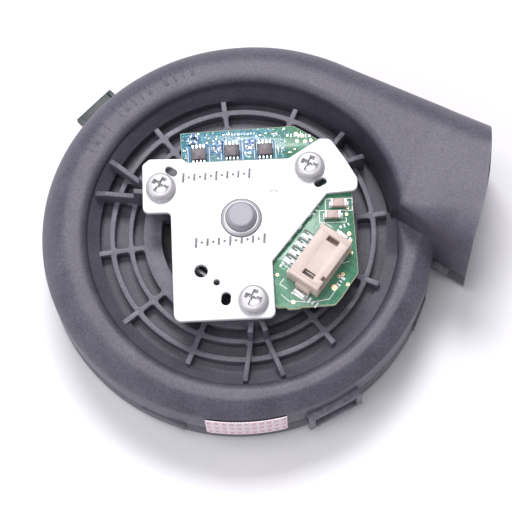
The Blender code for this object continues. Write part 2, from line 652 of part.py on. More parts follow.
boss = shaft_turned("plate_boss", [(0, 11.3), (2.2, 11.3), (2.55, 11.0), (2.6, 10.3), (3.6, 10.25), (4.05, 9.8), (4.3, 8.4), (0, 8.4)],
                    steps=20, cutter=True)
join_to(plate, boss)
boss_bore = shaft_turned("plate_boss_bore", [(0, 10.75), (1.9, 10.75), (1.9, 9.6), (3.5, 9.6), (3.5, 7.0), (0, 7.0)], steps=20,
                         cutter=True)
cut_from(plate, boss_bore)

for k, sa in enumerate(SCREW_ANGLES):
    c = polar(R_SCREWS, sa)
    z0 = Z_PLATE + T_PLATE + GAP
    scr = shaft_turned("plate_screw_%d" % (k + 1),
                       [(0, z0 + 1.75), (1.3, z0 + 1.68), (2.3, z0 + 1.3), (2.85, z0 + 0.6), (3.0, z0), (1.4, z0), (1.4, 1.2),
                        (0.9, 0.2), (0, 0.0)], steps=16, mat=SCREW, at=(c.x, c.y, 0))
    for j in range(2):
        slot = block("recess_%d_%d" % (k, j), (3.4, 0.62, 1.9), (c.x, c.y, z0 + 1.75), turn=sa + 20 + 90 * j, cutter=True)
        cut_from(scr, slot)

# ------------------------------------------------------------------ circuit board and what is on it
board_pts = [(-12.1, 18.3), (10.3, 19.6), (14.9, 16.8), (19.2, 12.6), (21.5, 8.6), (21.5, 5.5), (21.8, 0.0), (22.4, -9.3),
             (22.5, -10.8), (21.7, -12.0), (19.2, -15.8), (17.9, -17.3), (11.6, -17.7), (10.9, -18.0), (8.9, -18.1),
             (8.6, -17.7), (6.8, -17.8), (6.3, -17.0), (5.4, -12.6), (-4.4, -11.4), (-8.6, -7.6), (-11.3, -3.0), (-11.7, 2.0), (-11.8, 13.4)]
board_rad = [0.3, 0.3, 0.3, 1.0, 1.0, 0.5, 0.0, 0.0, 1.2, 0.5, 0.4, 0.8, 0.3, 0.3, 0.2, 0.2, 0.2, 0.3, 1.0, 1.0, 1.0, 1.0, 0.5, 0.5]
tc = polar(R_SCREWS, SCREW_ANGLES[0])
board = flat_plate("circuit_board", [rounded(board_pts, board_rad, 2), circle_pts(7.0, 24), circle_pts(4.1, 16, tc.x, tc.y)],
                   Z_PCB_TOP - T_PCB, Z_PCB_TOP, GREEN)

HEAD_A = 54.5
hu, hv = polar(1, HEAD_A), polar(1, HEAD_A - 90)
pin_mid = Vector((11.25, -6.5))
h_mid = pin_mid + hv * 4.75
H_LEN, H_DEEP, H_TALL = 11.8, 6.8, 4.6
hz0 = Z_PCB_TOP + GAP
housing = block("header_housing", (H_LEN, H_DEEP, H_TALL), (h_mid.x, h_mid.y, hz0 + H_TALL / 2), turn=HEAD_A, mat=BEIGE)
sock = h_mid + hv * 1.1
socket = block("header_socket", (H_LEN - 2.0, H_DEEP, H_TALL - 1.4), (sock.x, sock.y, hz0 + H_TALL / 2), turn=HEAD_A, cutter=True)
cut_from(housing, socket)
for n, s in enumerate((-1, 1)):
    w = h_mid + hu * (s * 4.0) + hv * 0.2
    win = block("header_window_%d" % n, (1.1, 2.5, 3.0), (w.x, w.y, hz0 + H_TALL), turn=HEAD_A, cutter=True)
    cut_from(housing, win)
    f = h_mid + hu * (s * (H_LEN / 2 + 0.2)) + hv * 0.3
    fl = block("header_ear_%d" % n, (1.0, 3.2, 2.4), (f.x, f.y, hz0 + 1.2), turn=HEAD_A, cutter=True)
    join_to(housing, fl)
for i in range(4):
    o = h_mid + hu * ((i - 1.5) * 2.0) - hv * (H_DEEP / 2 - 0.6)
    hole = block("header_pin_hole_%d" % i, (0.5 + 2 * GAP, 6.0, 0.5 + 2 * GAP), (o.x, o.y, hz0 + 1.55), turn=HEAD_A, cutter=True)
    cut_from(housing, hole)
for i in range(4):
    o = h_mid + hu * ((i - 1.5) * 2.0)
    pin = o - hv * 1.6
    ct = block("header_contact_%d" % (i + 1), (0.5, 6.4, 0.5), (pin.x, pin.y, hz0 + 1.55), turn=HEAD_A, mat=TIN)
    tail = o - hv * 4.75
    tl = block("contact_tail_%d" % i, (0.6, 2.1, 0.4), (tail.x, tail.y, hz0 + 0.2), turn=HEAD_A, cutter=True)
    riser = o - hv * 4.2
    rs = block("contact_riser_%d" % i, (0.5, 0.5, 1.7), (riser.x, riser.y, hz0 + 0.95), turn=HEAD_A, cutter=True)
    join_to(ct, rs)
    join_to(ct, tl)
for n, s in enumerate((-1, 1)):
    t = h_mid + hu * (s * (H_LEN / 2 + 1.35)) + hv * 0.3
    block("header_tab_%d" % (n + 1), (0.7, 2.4, 1.0), (t.x, t.y, hz0 + 0.5), turn=HEAD_A, mat=TIN)

for n, (x, y) in enumerate(((-8.4, 13.6), (-1.9, 14.25), (4.6, 14.45))):
    block("driver_chip_%d" % (n + 1), (3.0, 3.0, 0.9), (x, y, Z_PCB_TOP + GAP + 0.45), turn=3.0, mat=CHIP)
for n, (x, y) in enumerate(((18.9, 3.0), (17.7, 0.6))):
    block("bulk_capacitor_%d" % (n + 1), (3.2, 1.6, 1.3), (x, y, Z_PCB_TOP + GAP + 0.65), turn=1.5, mat=CERAMIC)
for n, (x, y, t) in enumerate(((-9.4, 17.5, 3), (-9.5, 16.2, 3), (-5.4, 15.3, 93), (-4.2, 15.3, 93), (1.0, 15.6, 93), (2.2, 15.8, 93))):
    block("small_passive_%d" % (n + 1), (1.0, 0.55, 0.4), (x, y, Z_PCB_TOP + GAP + 0.2), turn=t, mat=RESISTOR)

# ------------------------------------------------------------------ label on the side wall
label_a0, label_a1 = -101.3, -77.0
label_rows = []
for k in range(7):
    a = label_a0 + (label_a1 - label_a0) * k / 6
    r = table(WALL_R, a) + GAP
    lo, hi = -11.2, -2.2
    label_rows.append([tuple(polar(r, a, lo)), tuple(polar(r + 0.2, a, lo)), tuple(polar(r + 0.2, a, hi)), tuple(polar(r, a, hi))])
loft("rating_label", label_rows, PAPER)

for ob in parts_col.objects:
    if ob.type == 'MESH' and ob.name not in ("circuit_board", "stator_core"):
        smooth(ob)
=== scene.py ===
import bpy
import bmesh
import json
import math
import random
import numpy as np
from mathutils import Matrix, Vector


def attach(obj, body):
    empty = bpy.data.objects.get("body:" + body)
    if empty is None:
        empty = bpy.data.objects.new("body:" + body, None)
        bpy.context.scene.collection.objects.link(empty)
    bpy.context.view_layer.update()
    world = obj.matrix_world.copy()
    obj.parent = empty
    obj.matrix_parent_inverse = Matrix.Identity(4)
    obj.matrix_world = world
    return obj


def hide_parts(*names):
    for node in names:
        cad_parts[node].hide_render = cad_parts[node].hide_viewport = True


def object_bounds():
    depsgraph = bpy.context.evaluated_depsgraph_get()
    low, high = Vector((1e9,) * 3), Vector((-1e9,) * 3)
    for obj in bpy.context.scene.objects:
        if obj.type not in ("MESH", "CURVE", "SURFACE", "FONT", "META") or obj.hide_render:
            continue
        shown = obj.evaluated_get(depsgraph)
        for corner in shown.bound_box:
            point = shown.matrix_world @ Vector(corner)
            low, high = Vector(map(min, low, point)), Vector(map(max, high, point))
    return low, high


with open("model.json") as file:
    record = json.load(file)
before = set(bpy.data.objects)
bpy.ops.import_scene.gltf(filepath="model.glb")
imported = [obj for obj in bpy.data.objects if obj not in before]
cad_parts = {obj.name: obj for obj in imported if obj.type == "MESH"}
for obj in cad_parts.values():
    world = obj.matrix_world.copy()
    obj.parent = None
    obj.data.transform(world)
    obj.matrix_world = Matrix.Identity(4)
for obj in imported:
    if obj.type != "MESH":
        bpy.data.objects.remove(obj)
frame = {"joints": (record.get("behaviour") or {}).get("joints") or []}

cad_box = [[float(c) for c in v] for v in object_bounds()]
MM = 0.001
JOINT = [j for j in frame["joints"] if j["name"] == "rotor_spin"][0]
ORIGIN = Vector(JOINT["pos_m"])          # motor axis at the rib tops
TO_WORLD = Matrix.Translation(ORIGIN) @ Matrix.Scale(MM, 4)
rng = random.Random(41)

# ================================================================== camera
D_CAM, TILT, AZ, ROLL = 400.0, math.radians(18.62), math.radians(4.58), math.radians(-0.12)
back = Vector((math.sin(TILT) * math.sin(AZ), -math.sin(TILT) * math.cos(AZ), math.cos(TILT)))
c_at = Vector((2.59, -4.76, 0.0)) + back * D_CAM
cx = Vector((0, 1, 0)).cross(back).normalized()
cy = back.cross(cx)
cx, cy = math.cos(ROLL) * cx + math.sin(ROLL) * cy, -math.sin(ROLL) * cx + math.cos(ROLL) * cy
c_loc = ORIGIN + c_at * MM
cam = bpy.data.cameras.new("camera")
cam.lens = 142.9
cam.sensor_width = 36.0
cam.clip_start = 0.02
cam_ob = bpy.data.objects.new("camera", cam)
bpy.context.scene.collection.objects.link(cam_ob)
cam_ob.matrix_world = Matrix(((cx.x, cy.x, back.x, c_loc.x), (cx.y, cy.y, back.y, c_loc.y),
                              (cx.z, cy.z, back.z, c_loc.z), (0, 0, 0, 1)))
bpy.context.scene.camera = cam_ob
bpy.context.scene.view_settings.view_transform = 'Standard'

# ================================================================== node helpers


class Mat:
    """A Principled material and short calls that add nodes to it. Coordinates are the object's own, in metres."""

    def __init__(self, name):
        self.m = bpy.data.materials.new(name)
        self.m.use_nodes = True
        self.t = self.m.node_tree
        self.b = self.t.nodes["Principled BSDF"]
        self.co = self.t.nodes.new("ShaderNodeTexCoord").outputs["Object"]

    def put(self, key, value):
        s = self.b.inputs[key]
        if hasattr(value, "links"):
            self.t.links.new(value, s)
        elif isinstance(value, tuple):
            s.default_value = (value[0], value[1], value[2], 1.0)
        else:
            s.default_value = value
        return self

    def mapped(self, scale=(1, 1, 1), turn=0.0, src=None):
        n = self.t.nodes.new("ShaderNodeMapping")
        n.inputs["Scale"].default_value = scale
        n.inputs["Rotation"].default_value = (0, 0, turn)
        self.t.links.new(src or self.co, n.inputs["Vector"])
        return n.outputs["Vector"]

    def noise(self, scale, detail=2.0, rough=0.5, vec=None, distort=0.0):
        n = self.t.nodes.new("ShaderNodeTexNoise")
        n.inputs["Scale"].default_value = scale
        n.inputs["Detail"].default_value = detail
        n.inputs["Roughness"].default_value = rough
        n.inputs["Distortion"].default_value = distort
        self.t.links.new(vec or self.co, n.inputs["Vector"])
        return n.outputs["Fac"]

    def voronoi(self, scale, vec=None, feature='F1', out="Distance"):
        n = self.t.nodes.new("ShaderNodeTexVoronoi")
        n.feature = feature
        n.inputs["Scale"].default_value = scale
        self.t.links.new(vec or self.co, n.inputs["Vector"])
        return n.outputs[out]

    def wave(self, scale, vec=None, distort=0.0, detail=2.0, direction='X'):
        n = self.t.nodes.new("ShaderNodeTexWave")
        n.bands_direction = direction
        n.inputs["Scale"].default_value = scale
        n.inputs["Distortion"].default_value = distort
        n.inputs["Detail"].default_value = detail
        self.t.links.new(vec or self.co, n.inputs["Vector"])
        return n.outputs["Fac"]

    def ramp(self, fac, *stops):
        n = self.t.nodes.new("ShaderNodeValToRGB")
        e = n.color_ramp.elements
        while len(e) < len(stops):
            e.new(0.5)
        for i, (p, c) in enumerate(stops):
            e[i].position = p
            c = (c, c, c) if not isinstance(c, tuple) else c
            e[i].color = (c[0], c[1], c[2], 1.0)
        self.t.links.new(fac, n.inputs["Fac"])
        return n.outputs["Color"]

    def mix(self, fac, a, b, mode='MIX'):
        n = self.t.nodes.new("ShaderNodeMix")
        n.data_type = 'RGBA'
        n.blend_type = mode
        for sock, v in ((n.inputs[0], fac), (n.inputs[6], a), (n.inputs[7], b)):
            if hasattr(v, "links"):
                self.t.links.new(v, sock)
            elif isinstance(v, tuple):
                sock.default_value = (v[0], v[1], v[2], 1.0)
            elif sock.type == 'RGBA':
                sock.default_value = (v, v, v, 1.0)
            else:
                sock.default_value = v
        return n.outputs[2]

    def math(self, op, a, b=None, c=None):
        n = self.t.nodes.new("ShaderNodeMath")
        n.operation = op
        for i, v in enumerate((a, b, c)):
            if v is None:
                continue
            if hasattr(v, "links"):
                self.t.links.new(v, n.inputs[i])
            else:
                n.inputs[i].default_value = v
        return n.outputs[0]

    def span(self, fac, lo, hi):
        """fac from 0..1 to lo..hi."""
        n = self.t.nodes.new("ShaderNodeMapRange")
        n.inputs["To Min"].default_value = lo
        n.inputs["To Max"].default_value = hi
        self.t.links.new(fac, n.inputs["Value"])
        return n.outputs["Result"]

    def edges(self, lo=0.5, hi=0.58):
        g = self.t.nodes.new("ShaderNodeNewGeometry")
        return self.ramp(g.outputs["Pointiness"], (lo, 0.0), (hi, 1.0))

    def bump(self, height, strength, distance, under=None):
        n = self.t.nodes.new("ShaderNodeBump")
        n.inputs["Strength"].default_value = strength
        n.inputs["Distance"].default_value = distance
        self.t.links.new(height, n.inputs["Height"])
        if under is not None:
            self.t.links.new(under, n.inputs["Normal"])
        return n.outputs["Normal"]


def plastic(name, dark, light, speck, rough=(0.42, 0.6), grain=4200.0, bump=0.35, depth=0.00004, specks=0.35, edge=0.5,
            blotch=180.0, mottle=0.12, well=0.0):
    """Moulded plastic: soft blotches, fine grain, pale specks of filler, lighter worn edges; well paints shade on the
    motor well's wall.
    """
    k = Mat(name)
    fine = k.noise(grain, 3.0, 0.6)
    big = k.noise(blotch, 4.0, 0.55)
    col = k.mix(k.ramp(big, (0.32, 0.0), (0.7, 1.0)), dark, light)
    shade = k.ramp(k.noise(grain * 0.55, 3.0, 0.7), (0.3, 1.0 - mottle), (0.7, 1.0 + mottle))
    col = k.mix(1.0, col, shade, 'MULTIPLY')
    tiny = k.noise(grain * 0.8, 1.0, 0.4)
    spots = k.math('MULTIPLY', k.ramp(tiny, (0.6, 0.0), (0.72, 1.0)), specks)
    col = k.mix(spots, col, speck)
    wear = k.math('MULTIPLY', k.edges(0.51, 0.6), edge)
    wear = k.math('MULTIPLY', wear, k.ramp(k.noise(900.0, 3.0), (0.35, 0.3), (0.65, 1.0)))
    col = k.mix(wear, col, speck)
    if well:
        # painted shade: the wall of the motor's well is darkened towards the axis, standing in for the shade that falls
        # inside the well
        place_ = k.t.nodes.new("ShaderNodeSeparateXYZ")
        k.t.links.new(k.co, place_.inputs[0])
        dx = k.math('SUBTRACT', place_.outputs[0], ORIGIN.x)
        dy = k.math('SUBTRACT', place_.outputs[1], ORIGIN.y)
        far = k.math('SQRT', k.math('ADD', k.math('MULTIPLY', dx, dx), k.math('MULTIPLY', dy, dy)), 0.0)
        well_shade_mask = k.ramp(k.math('MULTIPLY', far, 20.0), (0.610, 1.0), (0.645, 0.0))
        col = k.mix(k.math('MULTIPLY', well_shade_mask, well), col, (dark[0] * 0.35, dark[1] * 0.35, dark[2] * 0.38))
    k.put("Base Color", col)
    k.put("Roughness", k.span(k.mix(0.5, fine, big), rough[0], rough[1]))
    n1 = k.bump(fine, bump, depth)
    k.put("Normal", k.bump(big, 0.12, 0.0002, n1))
    return k


def metal(name, dark, light, rough=(0.22, 0.4), metallic=1.0, brush=(60.0, 2600.0, 2600.0), bump=0.08, turn=0.0, spots=0.25,
          blotch=420.0):
    """Metal with a faint drawn grain, soft stains and small dark pits."""
    k = Mat(name)
    grain = k.noise(1.0, 3.0, 0.6, k.mapped(brush, turn))
    stain = k.noise(blotch, 4.0, 0.6)
    col = k.mix(k.ramp(stain, (0.3, 0.0), (0.7, 1.0)), dark, light)
    pits = k.math('MULTIPLY', k.ramp(k.noise(2600.0, 2.0), (0.64, 0.0), (0.74, 1.0)), spots)
    col = k.mix(pits, col, (dark[0] * 0.45, dark[1] * 0.45, dark[2] * 0.47))
    k.put("Base Color", col)
    k.put("Metallic", metallic)
    k.put("Roughness", k.span(k.mix(0.5, grain, stain), rough[0], rough[1]))
    k.put("Normal", k.bump(grain, bump, 0.00003))
    return k


# well=0.5 paints shade on the inner wall of the motor well
SHELL = plastic("m_shell_plastic", (0.076, 0.070, 0.098), (0.109, 0.102, 0.137), (0.253, 0.241, 0.299), (0.38, 0.54), grain=3900.0,
                bump=0.75, depth=0.00006, specks=0.2, edge=0.3, mottle=0.3, well=0.5)
RIBS = plastic("m_rib_plastic", (0.085, 0.081, 0.108), (0.118, 0.112, 0.146), (0.300, 0.287, 0.350), (0.40, 0.56), grain=3900.0,
               bump=0.5, depth=0.00004, specks=0.2, edge=0.6, mottle=0.22)
LOWER = plastic("m_lower_plastic", (0.059, 0.057, 0.078), (0.090, 0.085, 0.112), (0.230, 0.218, 0.276), (0.40, 0.58), grain=3700.0,
                bump=0.6, depth=0.00005, specks=0.2, edge=0.35, mottle=0.25)
# darker copy of the rib plastic: painted shade on the pocket floors of the well, and the own dark tone of the mould
# marks
SHADE_AND_MARK_PLASTIC = plastic("m_floor_shade_and_mark_plastic", (0.050, 0.047, 0.066), (0.076, 0.072, 0.097), (0.200, 0.190, 0.240), (0.42, 0.6), grain=3900.0,
                 bump=0.6, depth=0.00005, specks=0.2, edge=0.3, mottle=0.28)
TAB = plastic("m_tab_plastic", (0.026, 0.036, 0.042), (0.045, 0.058, 0.063), (0.150, 0.170, 0.175), (0.4, 0.55), edge=0.4)
FAN = plastic("m_fan_plastic", (0.031, 0.031, 0.035), (0.056, 0.056, 0.063), (0.172, 0.172, 0.184), (0.38, 0.55), bump=0.3)
NYLON = plastic("m_header_nylon", (0.600, 0.488, 0.435), (0.640, 0.525, 0.472), (0.760, 0.660, 0.620), (0.36, 0.5), grain=3000.0, bump=0.12,
                specks=0.06, edge=0.2, blotch=500.0, mottle=0.04)
EPOXY = plastic("m_chip_epoxy", (0.022, 0.018, 0.028), (0.050, 0.042, 0.059), (0.368, 0.287, 0.322), (0.3, 0.5), grain=5200.0, bump=0.4,
                specks=0.25, edge=0.6, blotch=900.0)
CERAMIC = plastic("m_cap_ceramic", (0.40, 0.27, 0.265), (0.52, 0.38, 0.37), (0.72, 0.6, 0.57), (0.35, 0.55), grain=5200.0, bump=0.25,
                  specks=0.3, edge=0.5, blotch=1200.0)
RESIST = plastic("m_passive_body", (0.039, 0.065, 0.208), (0.078, 0.130, 0.364), (0.345, 0.460, 0.805), (0.3, 0.5), grain=5200.0, specks=0.3,
                 blotch=1500.0)
SILK = plastic("m_silk_ink", (0.792, 0.836, 0.858), (0.946, 0.970, 0.970), (0.970, 0.970, 0.970), (0.5, 0.7), grain=6000.0, bump=0.2,
               specks=0.3, edge=0.0, blotch=1500.0)
BLUE = plastic("m_blue_ink", (0.020, 0.085, 0.360), (0.045, 0.180, 0.560), (0.250, 0.500, 0.850), (0.4, 0.6), grain=6000.0, bump=0.2, specks=0.3,
               edge=0.0, blotch=1500.0)
CYAN = plastic("m_cyan_ink", (0.160, 0.450, 0.600), (0.320, 0.660, 0.820), (0.750, 0.900, 0.950), (0.4, 0.6), grain=6000.0, bump=0.2, specks=0.3,
               edge=0.0, blotch=1500.0)
# dark stamp ink for marks and joints; also painted shade as the dark ring round the boss's foot
STAMP_AND_SHADE = plastic("m_stamp_mark_and_shade", (0.055, 0.055, 0.06), (0.16, 0.16, 0.18), (0.5, 0.5, 0.52), (0.4, 0.6), grain=5200.0, specks=0.4,
                edge=0.2, blotch=1800.0)
BONE = plastic("m_insulator_nylon", (0.60, 0.57, 0.49), (0.70, 0.67, 0.59), (0.8, 0.78, 0.7), (0.4, 0.6))
FERRITE = plastic("m_magnet_ferrite", (0.03, 0.03, 0.032), (0.055, 0.055, 0.058), (0.12, 0.12, 0.12), (0.5, 0.7))

ZINC = metal("m_bright_zinc", (0.650, 0.640, 0.680), (0.740, 0.735, 0.770), (0.36, 0.5), metallic=0.2, bump=0.06, spots=0.08,
             brush=(0.970, 0.970, 0.970), turn=0.1, blotch=150.0)
BOSS = metal("m_boss_zinc", (0.340, 0.335, 0.385), (0.390, 0.385, 0.435), (0.42, 0.55), metallic=0.0, bump=0.05, spots=0.1, blotch=400.0)
SCREW = metal("m_screw_steel", (0.500, 0.490, 0.515), (0.580, 0.570, 0.595), (0.34, 0.46), metallic=0.3, spots=0.1, blotch=500.0)
# painted shade: a darker copy of the screw steel for the faces inside the cross recess
RECESS_SHADE_METAL = metal("m_screw_recess_shade", (0.160, 0.157, 0.170), (0.260, 0.255, 0.275), (0.26, 0.4), metallic=0.6, spots=0.1, blotch=900.0)
STEEL = metal("m_bearing_steel", (0.55, 0.55, 0.56), (0.7, 0.7, 0.71), (0.18, 0.32))
CUP = metal("m_rotor_steel", (0.30, 0.30, 0.32), (0.44, 0.44, 0.46), (0.28, 0.45), brush=(900.0, 900.0, 3800.0))
BRASS = metal("m_tube_brass", (0.62, 0.45, 0.18), (0.78, 0.60, 0.28), (0.25, 0.4))
IRON = metal("m_lamination", (0.28, 0.28, 0.29), (0.42, 0.42, 0.43), (0.35, 0.55), brush=(200.0, 200.0, 9000.0), bump=0.5)
TIN = metal("m_tinned", (0.726, 0.726, 0.726), (0.946, 0.946, 0.957), (0.24, 0.42), metallic=0.8, spots=0.25, blotch=1500.0)
COPPER = metal("m_via_copper", (0.835, 0.531, 0.304), (0.902, 0.638, 0.418), (0.28, 0.45), metallic=0.8, blotch=1500.0)
ENAMEL = metal("m_coil_enamel", (0.483, 0.161, 0.046), (0.62, 0.26, 0.09), (0.22, 0.38), metallic=0.7, blotch=1500.0)


def board_material():
    k = Mat("m_board_green")
    base = k.mix(k.ramp(k.noise(260.0, 3.0), (0.35, 0.0), (0.65, 1.0)), (0.034, 0.165, 0.090), (0.053, 0.215, 0.125))
    lines = k.ramp(k.wave(300.0, k.mapped((1, 1, 1), 0.62), 1.4, 1.0), (0.60, 0.0), (0.66, 1.0))
    lines2 = k.ramp(k.wave(260.0, k.mapped((1, 1, 1), -0.95), 2.0, 1.0), (0.62, 0.0), (0.68, 1.0))
    where = k.ramp(k.noise(210.0, 1.0), (0.48, 0.0), (0.52, 1.0))
    tracks = k.mix(where, lines, lines2)
    pours = k.ramp(k.voronoi(190.0, feature='SMOOTH_F1'), (0.34, 0.0), (0.38, 1.0))
    relief = k.mix(0.55, tracks, pours)
    col = k.mix(k.math('MULTIPLY', relief, 0.55), base, (0.100, 0.325, 0.195))
    col = k.mix(k.math('MULTIPLY', k.ramp(k.noise(3600.0, 2.0), (0.62, 0.0), (0.74, 1.0)), 0.4), col, (0.30, 0.52, 0.42))
    # the strip behind the plate is bluer
    sep = k.t.nodes.new("ShaderNodeSeparateXYZ")
    k.t.links.new(k.co, sep.inputs[0])
    north = k.ramp(k.math('MULTIPLY', k.math('SUBTRACT', sep.outputs[1], ORIGIN.y + 0.0105), 400.0), (0.0, 0.0), (1.0, 1.0))
    west = k.ramp(k.math('MULTIPLY', k.math('SUBTRACT', ORIGIN.x + 0.0095, sep.outputs[0]), 160.0), (0.0, 0.0), (1.0, 1.0))
    blue = k.math('MULTIPLY', k.math('MULTIPLY', north, west), 0.62)
    tint = k.mix(k.ramp(k.noise(1300.0, 2.0), (0.44, 0.0), (0.62, 1.0)), (0.010, 0.12, 0.18), (0.045, 0.28, 0.47))
    col = k.mix(blue, col, tint)
    k.put("Base Color", col)
    k.put("Roughness", k.span(k.noise(900.0, 2.0), 0.22, 0.4))
    k.put("Normal", k.bump(relief, 0.35, 0.00004))
    k.put("Coat Weight", 0.3)
    k.put("Coat Roughness", 0.18)
    return k


BOARD = board_material()
DARKGREEN = plastic("m_bare_mask", (0.012, 0.05, 0.035), (0.022, 0.08, 0.055), (0.1, 0.2, 0.15), (0.25, 0.4), grain=5200.0, specks=0.2,
                    edge=0.0, blotch=1200.0)
EDGE = plastic("m_board_edge", (0.36, 0.42, 0.26), (0.52, 0.58, 0.40), (0.72, 0.75, 0.6), (0.5, 0.7), grain=5200.0, blotch=900.0)


def label_material():
    k = Mat("m_label_paper")
    uv = k.t.nodes.new("ShaderNodeTexCoord").outputs["UV"]
    sep = k.t.nodes.new("ShaderNodeSeparateXYZ")
    k.t.links.new(uv, sep.inputs[0])
    cells = k.math('FRACT', k.math('MULTIPLY', sep.outputs[0], 11.0))
    inside = k.math('MULTIPLY', k.math('GREATER_THAN', cells, 0.22), k.math('LESS_THAN', cells, 0.82))
    rows = k.math('FRACT', k.math('MULTIPLY', sep.outputs[1], 3.0))
    inrow = k.math('MULTIPLY', k.math('GREATER_THAN', rows, 0.25), k.math('LESS_THAN', rows, 0.8))
    block = k.math('MULTIPLY', inside, inrow)
    br = k.t.nodes.new("ShaderNodeTexChecker")
    br.inputs["Scale"].default_value = 46.0
    k.t.links.new(uv, br.inputs["Vector"])
    patt = k.mix(0.45, block, br.outputs["Fac"])
    fuzzy = k.math('MULTIPLY', patt, k.ramp(k.noise(1900.0, 3.0), (0.3, 0.35), (0.65, 1.0)))
    paper = k.mix(k.ramp(k.noise(700.0, 3.0), (0.3, 0.0), (0.7, 1.0)), (0.84, 0.77, 0.81), (0.93, 0.89, 0.92))
    k.put("Base Color", k.mix(k.math('MULTIPLY', fuzzy, 1.0), paper, (0.62, 0.20, 0.30)))
    k.put("Roughness", k.span(k.noise(2600.0, 2.0), 0.45, 0.65))
    k.put("Normal", k.bump(k.noise(3600.0, 3.0), 0.2, 0.00003))
    return k


LABEL = label_material()

# ================================================================== mesh helpers (millimetres, motor frame)
ALL = bpy.context.scene.collection


def fresh(name, me):
    ob = bpy.data.objects.new(name, me)
    ALL.objects.link(ob)
    return ob


def evaluated(ob):
    bpy.context.view_layer.update()
    me = bpy.data.meshes.new_from_object(ob.evaluated_get(bpy.context.evaluated_depsgraph_get()))
    return me


def drop(*obs):
    for o in obs:
        bpy.data.objects.remove(o, do_unlink=True)


def bevelled(me, width, seg=2, angle=35.0):
    ob = fresh("tmp_bevel", me)
    m = ob.modifiers.new("b", 'BEVEL')
    m.width = width
    m.segments = seg
    m.limit_method = 'ANGLE'
    m.angle_limit = math.radians(angle)
    m.miter_outer = 'MITER_ARC'
    m.use_clamp_overlap = True
    out = evaluated(ob)
    drop(ob)
    return out


def boolean(me, others, op='DIFFERENCE', use_self=False):
    ob = fresh("tmp_bool", me)
    extra = []
    for o in others:
        t = fresh("tmp_cut", o)
        extra.append(t)
        m = ob.modifiers.new("c", 'BOOLEAN')
        m.operation = op
        m.object = t
        m.solver = 'EXACT'
        m.use_self = use_self
    out = evaluated(ob)
    drop(ob, *extra)
    return out


def mesh_of(bm, name="tmp"):
    bmesh.ops.recalc_face_normals(bm, faces=bm.faces)
    me = bpy.data.meshes.new(name)
    bm.to_mesh(me)
    bm.free()
    return me


def place(me, at=(0, 0, 0), turn=0.0, tilt=0.0, roll=0.0):
    me.transform(Matrix.Translation(Vector(at)) @ Matrix.Rotation(math.radians(turn), 4, 'Z')
                 @ Matrix.Rotation(math.radians(tilt), 4, 'Y') @ Matrix.Rotation(math.radians(roll), 4, 'X'))
    return me


def box(size, at=(0, 0, 0), turn=0.0, bevel=0.08, seg=2, tilt=0.0, top=(1.0, 1.0), roll=0.0):
    """Rounded block; top is the share of the width and depth at its upper face."""
    bm = bmesh.new()
    bmesh.ops.create_cube(bm, size=1.0)
    for v in bm.verts:
        if v.co.z > 0:
            v.co.x *= top[0]
            v.co.y *= top[1]
    bmesh.ops.scale(bm, vec=size, verts=bm.verts)
    if bevel:
        bmesh.ops.bevel(bm, geom=bm.edges[:], offset=min(bevel, min(size) * 0.45), segments=seg, profile=0.5, affect='EDGES')
    return place(mesh_of(bm), at, turn, tilt, roll)


def spin(profile, steps=96, at=(0, 0, 0), closed=True):
    """Profile of (radius, height) turned about Z. A point on the axis becomes a pole."""
    bm = bmesh.new()
    rings = []
    for r, z in profile:
        if r < 1e-6:
            rings.append([bm.verts.new((0, 0, z))])
        else:
            rings.append([bm.verts.new((r * math.cos(2 * math.pi * i / steps), r * math.sin(2 * math.pi * i / steps), z))
                          for i in range(steps)])
    pairs = list(zip(rings, rings[1:])) + ([(rings[-1], rings[0])] if closed else [])
    for a, b in pairs:
        for i in range(steps):
            j = (i + 1) % steps
            if len(a) == 1 and len(b) == 1:
                continue
            if len(a) == 1:
                bm.faces.new((a[0], b[j], b[i]))
            elif len(b) == 1:
                bm.faces.new((a[i], a[j], b[0]))
            else:
                bm.faces.new((a[i], a[j], b[j], b[i]))
    return place(mesh_of(bm), at)


def rounded(points, radii, seg=4, closed=True):
    out = []
    n = len(points)
    for i in range(n):
        p = Vector(points[i])
        r = radii[i] if isinstance(radii, (list, tuple)) else radii
        if r <= 0 or (not closed and i in (0, n - 1)):
            out.append(p)
            continue
        p0, p1 = Vector(points[i - 1]), Vector(points[(i + 1) % n])
        d0, d1 = (p0 - p).normalized(), (p1 - p).normalized()
        if d0.angle(d1) > math.radians(176):
            out.append(p)
            continue
        half = d0.angle(d1) / 2
        t = min(r / math.tan(half), (p0 - p).length * 0.48, (p1 - p).length * 0.48)
        rr = t * math.tan(half)
        c = p + (d0 + d1).normalized() * (rr / math.sin(half))
        a0, a1 = (p + d0 * t) - c, (p + d1 * t) - c
        w = a0.angle(a1)
        for k in range(seg + 1):
            f = k / seg
            v = a0 * math.sin((1 - f) * w) + a1 * math.sin(f * w)
            out.append(c + v.normalized() * rr)
    return out


def soft(profile, r=0.15, seg=3, closed=True):
    return [(max(p.x, 0.0) if abs(p.x) > 1e-6 else 0.0, p.y) for p in rounded(profile, r, seg, closed)]


def area2(lp):
    return sum(lp[i - 1][0] * lp[i][1] - lp[i][0] * lp[i - 1][1] for i in range(len(lp)))


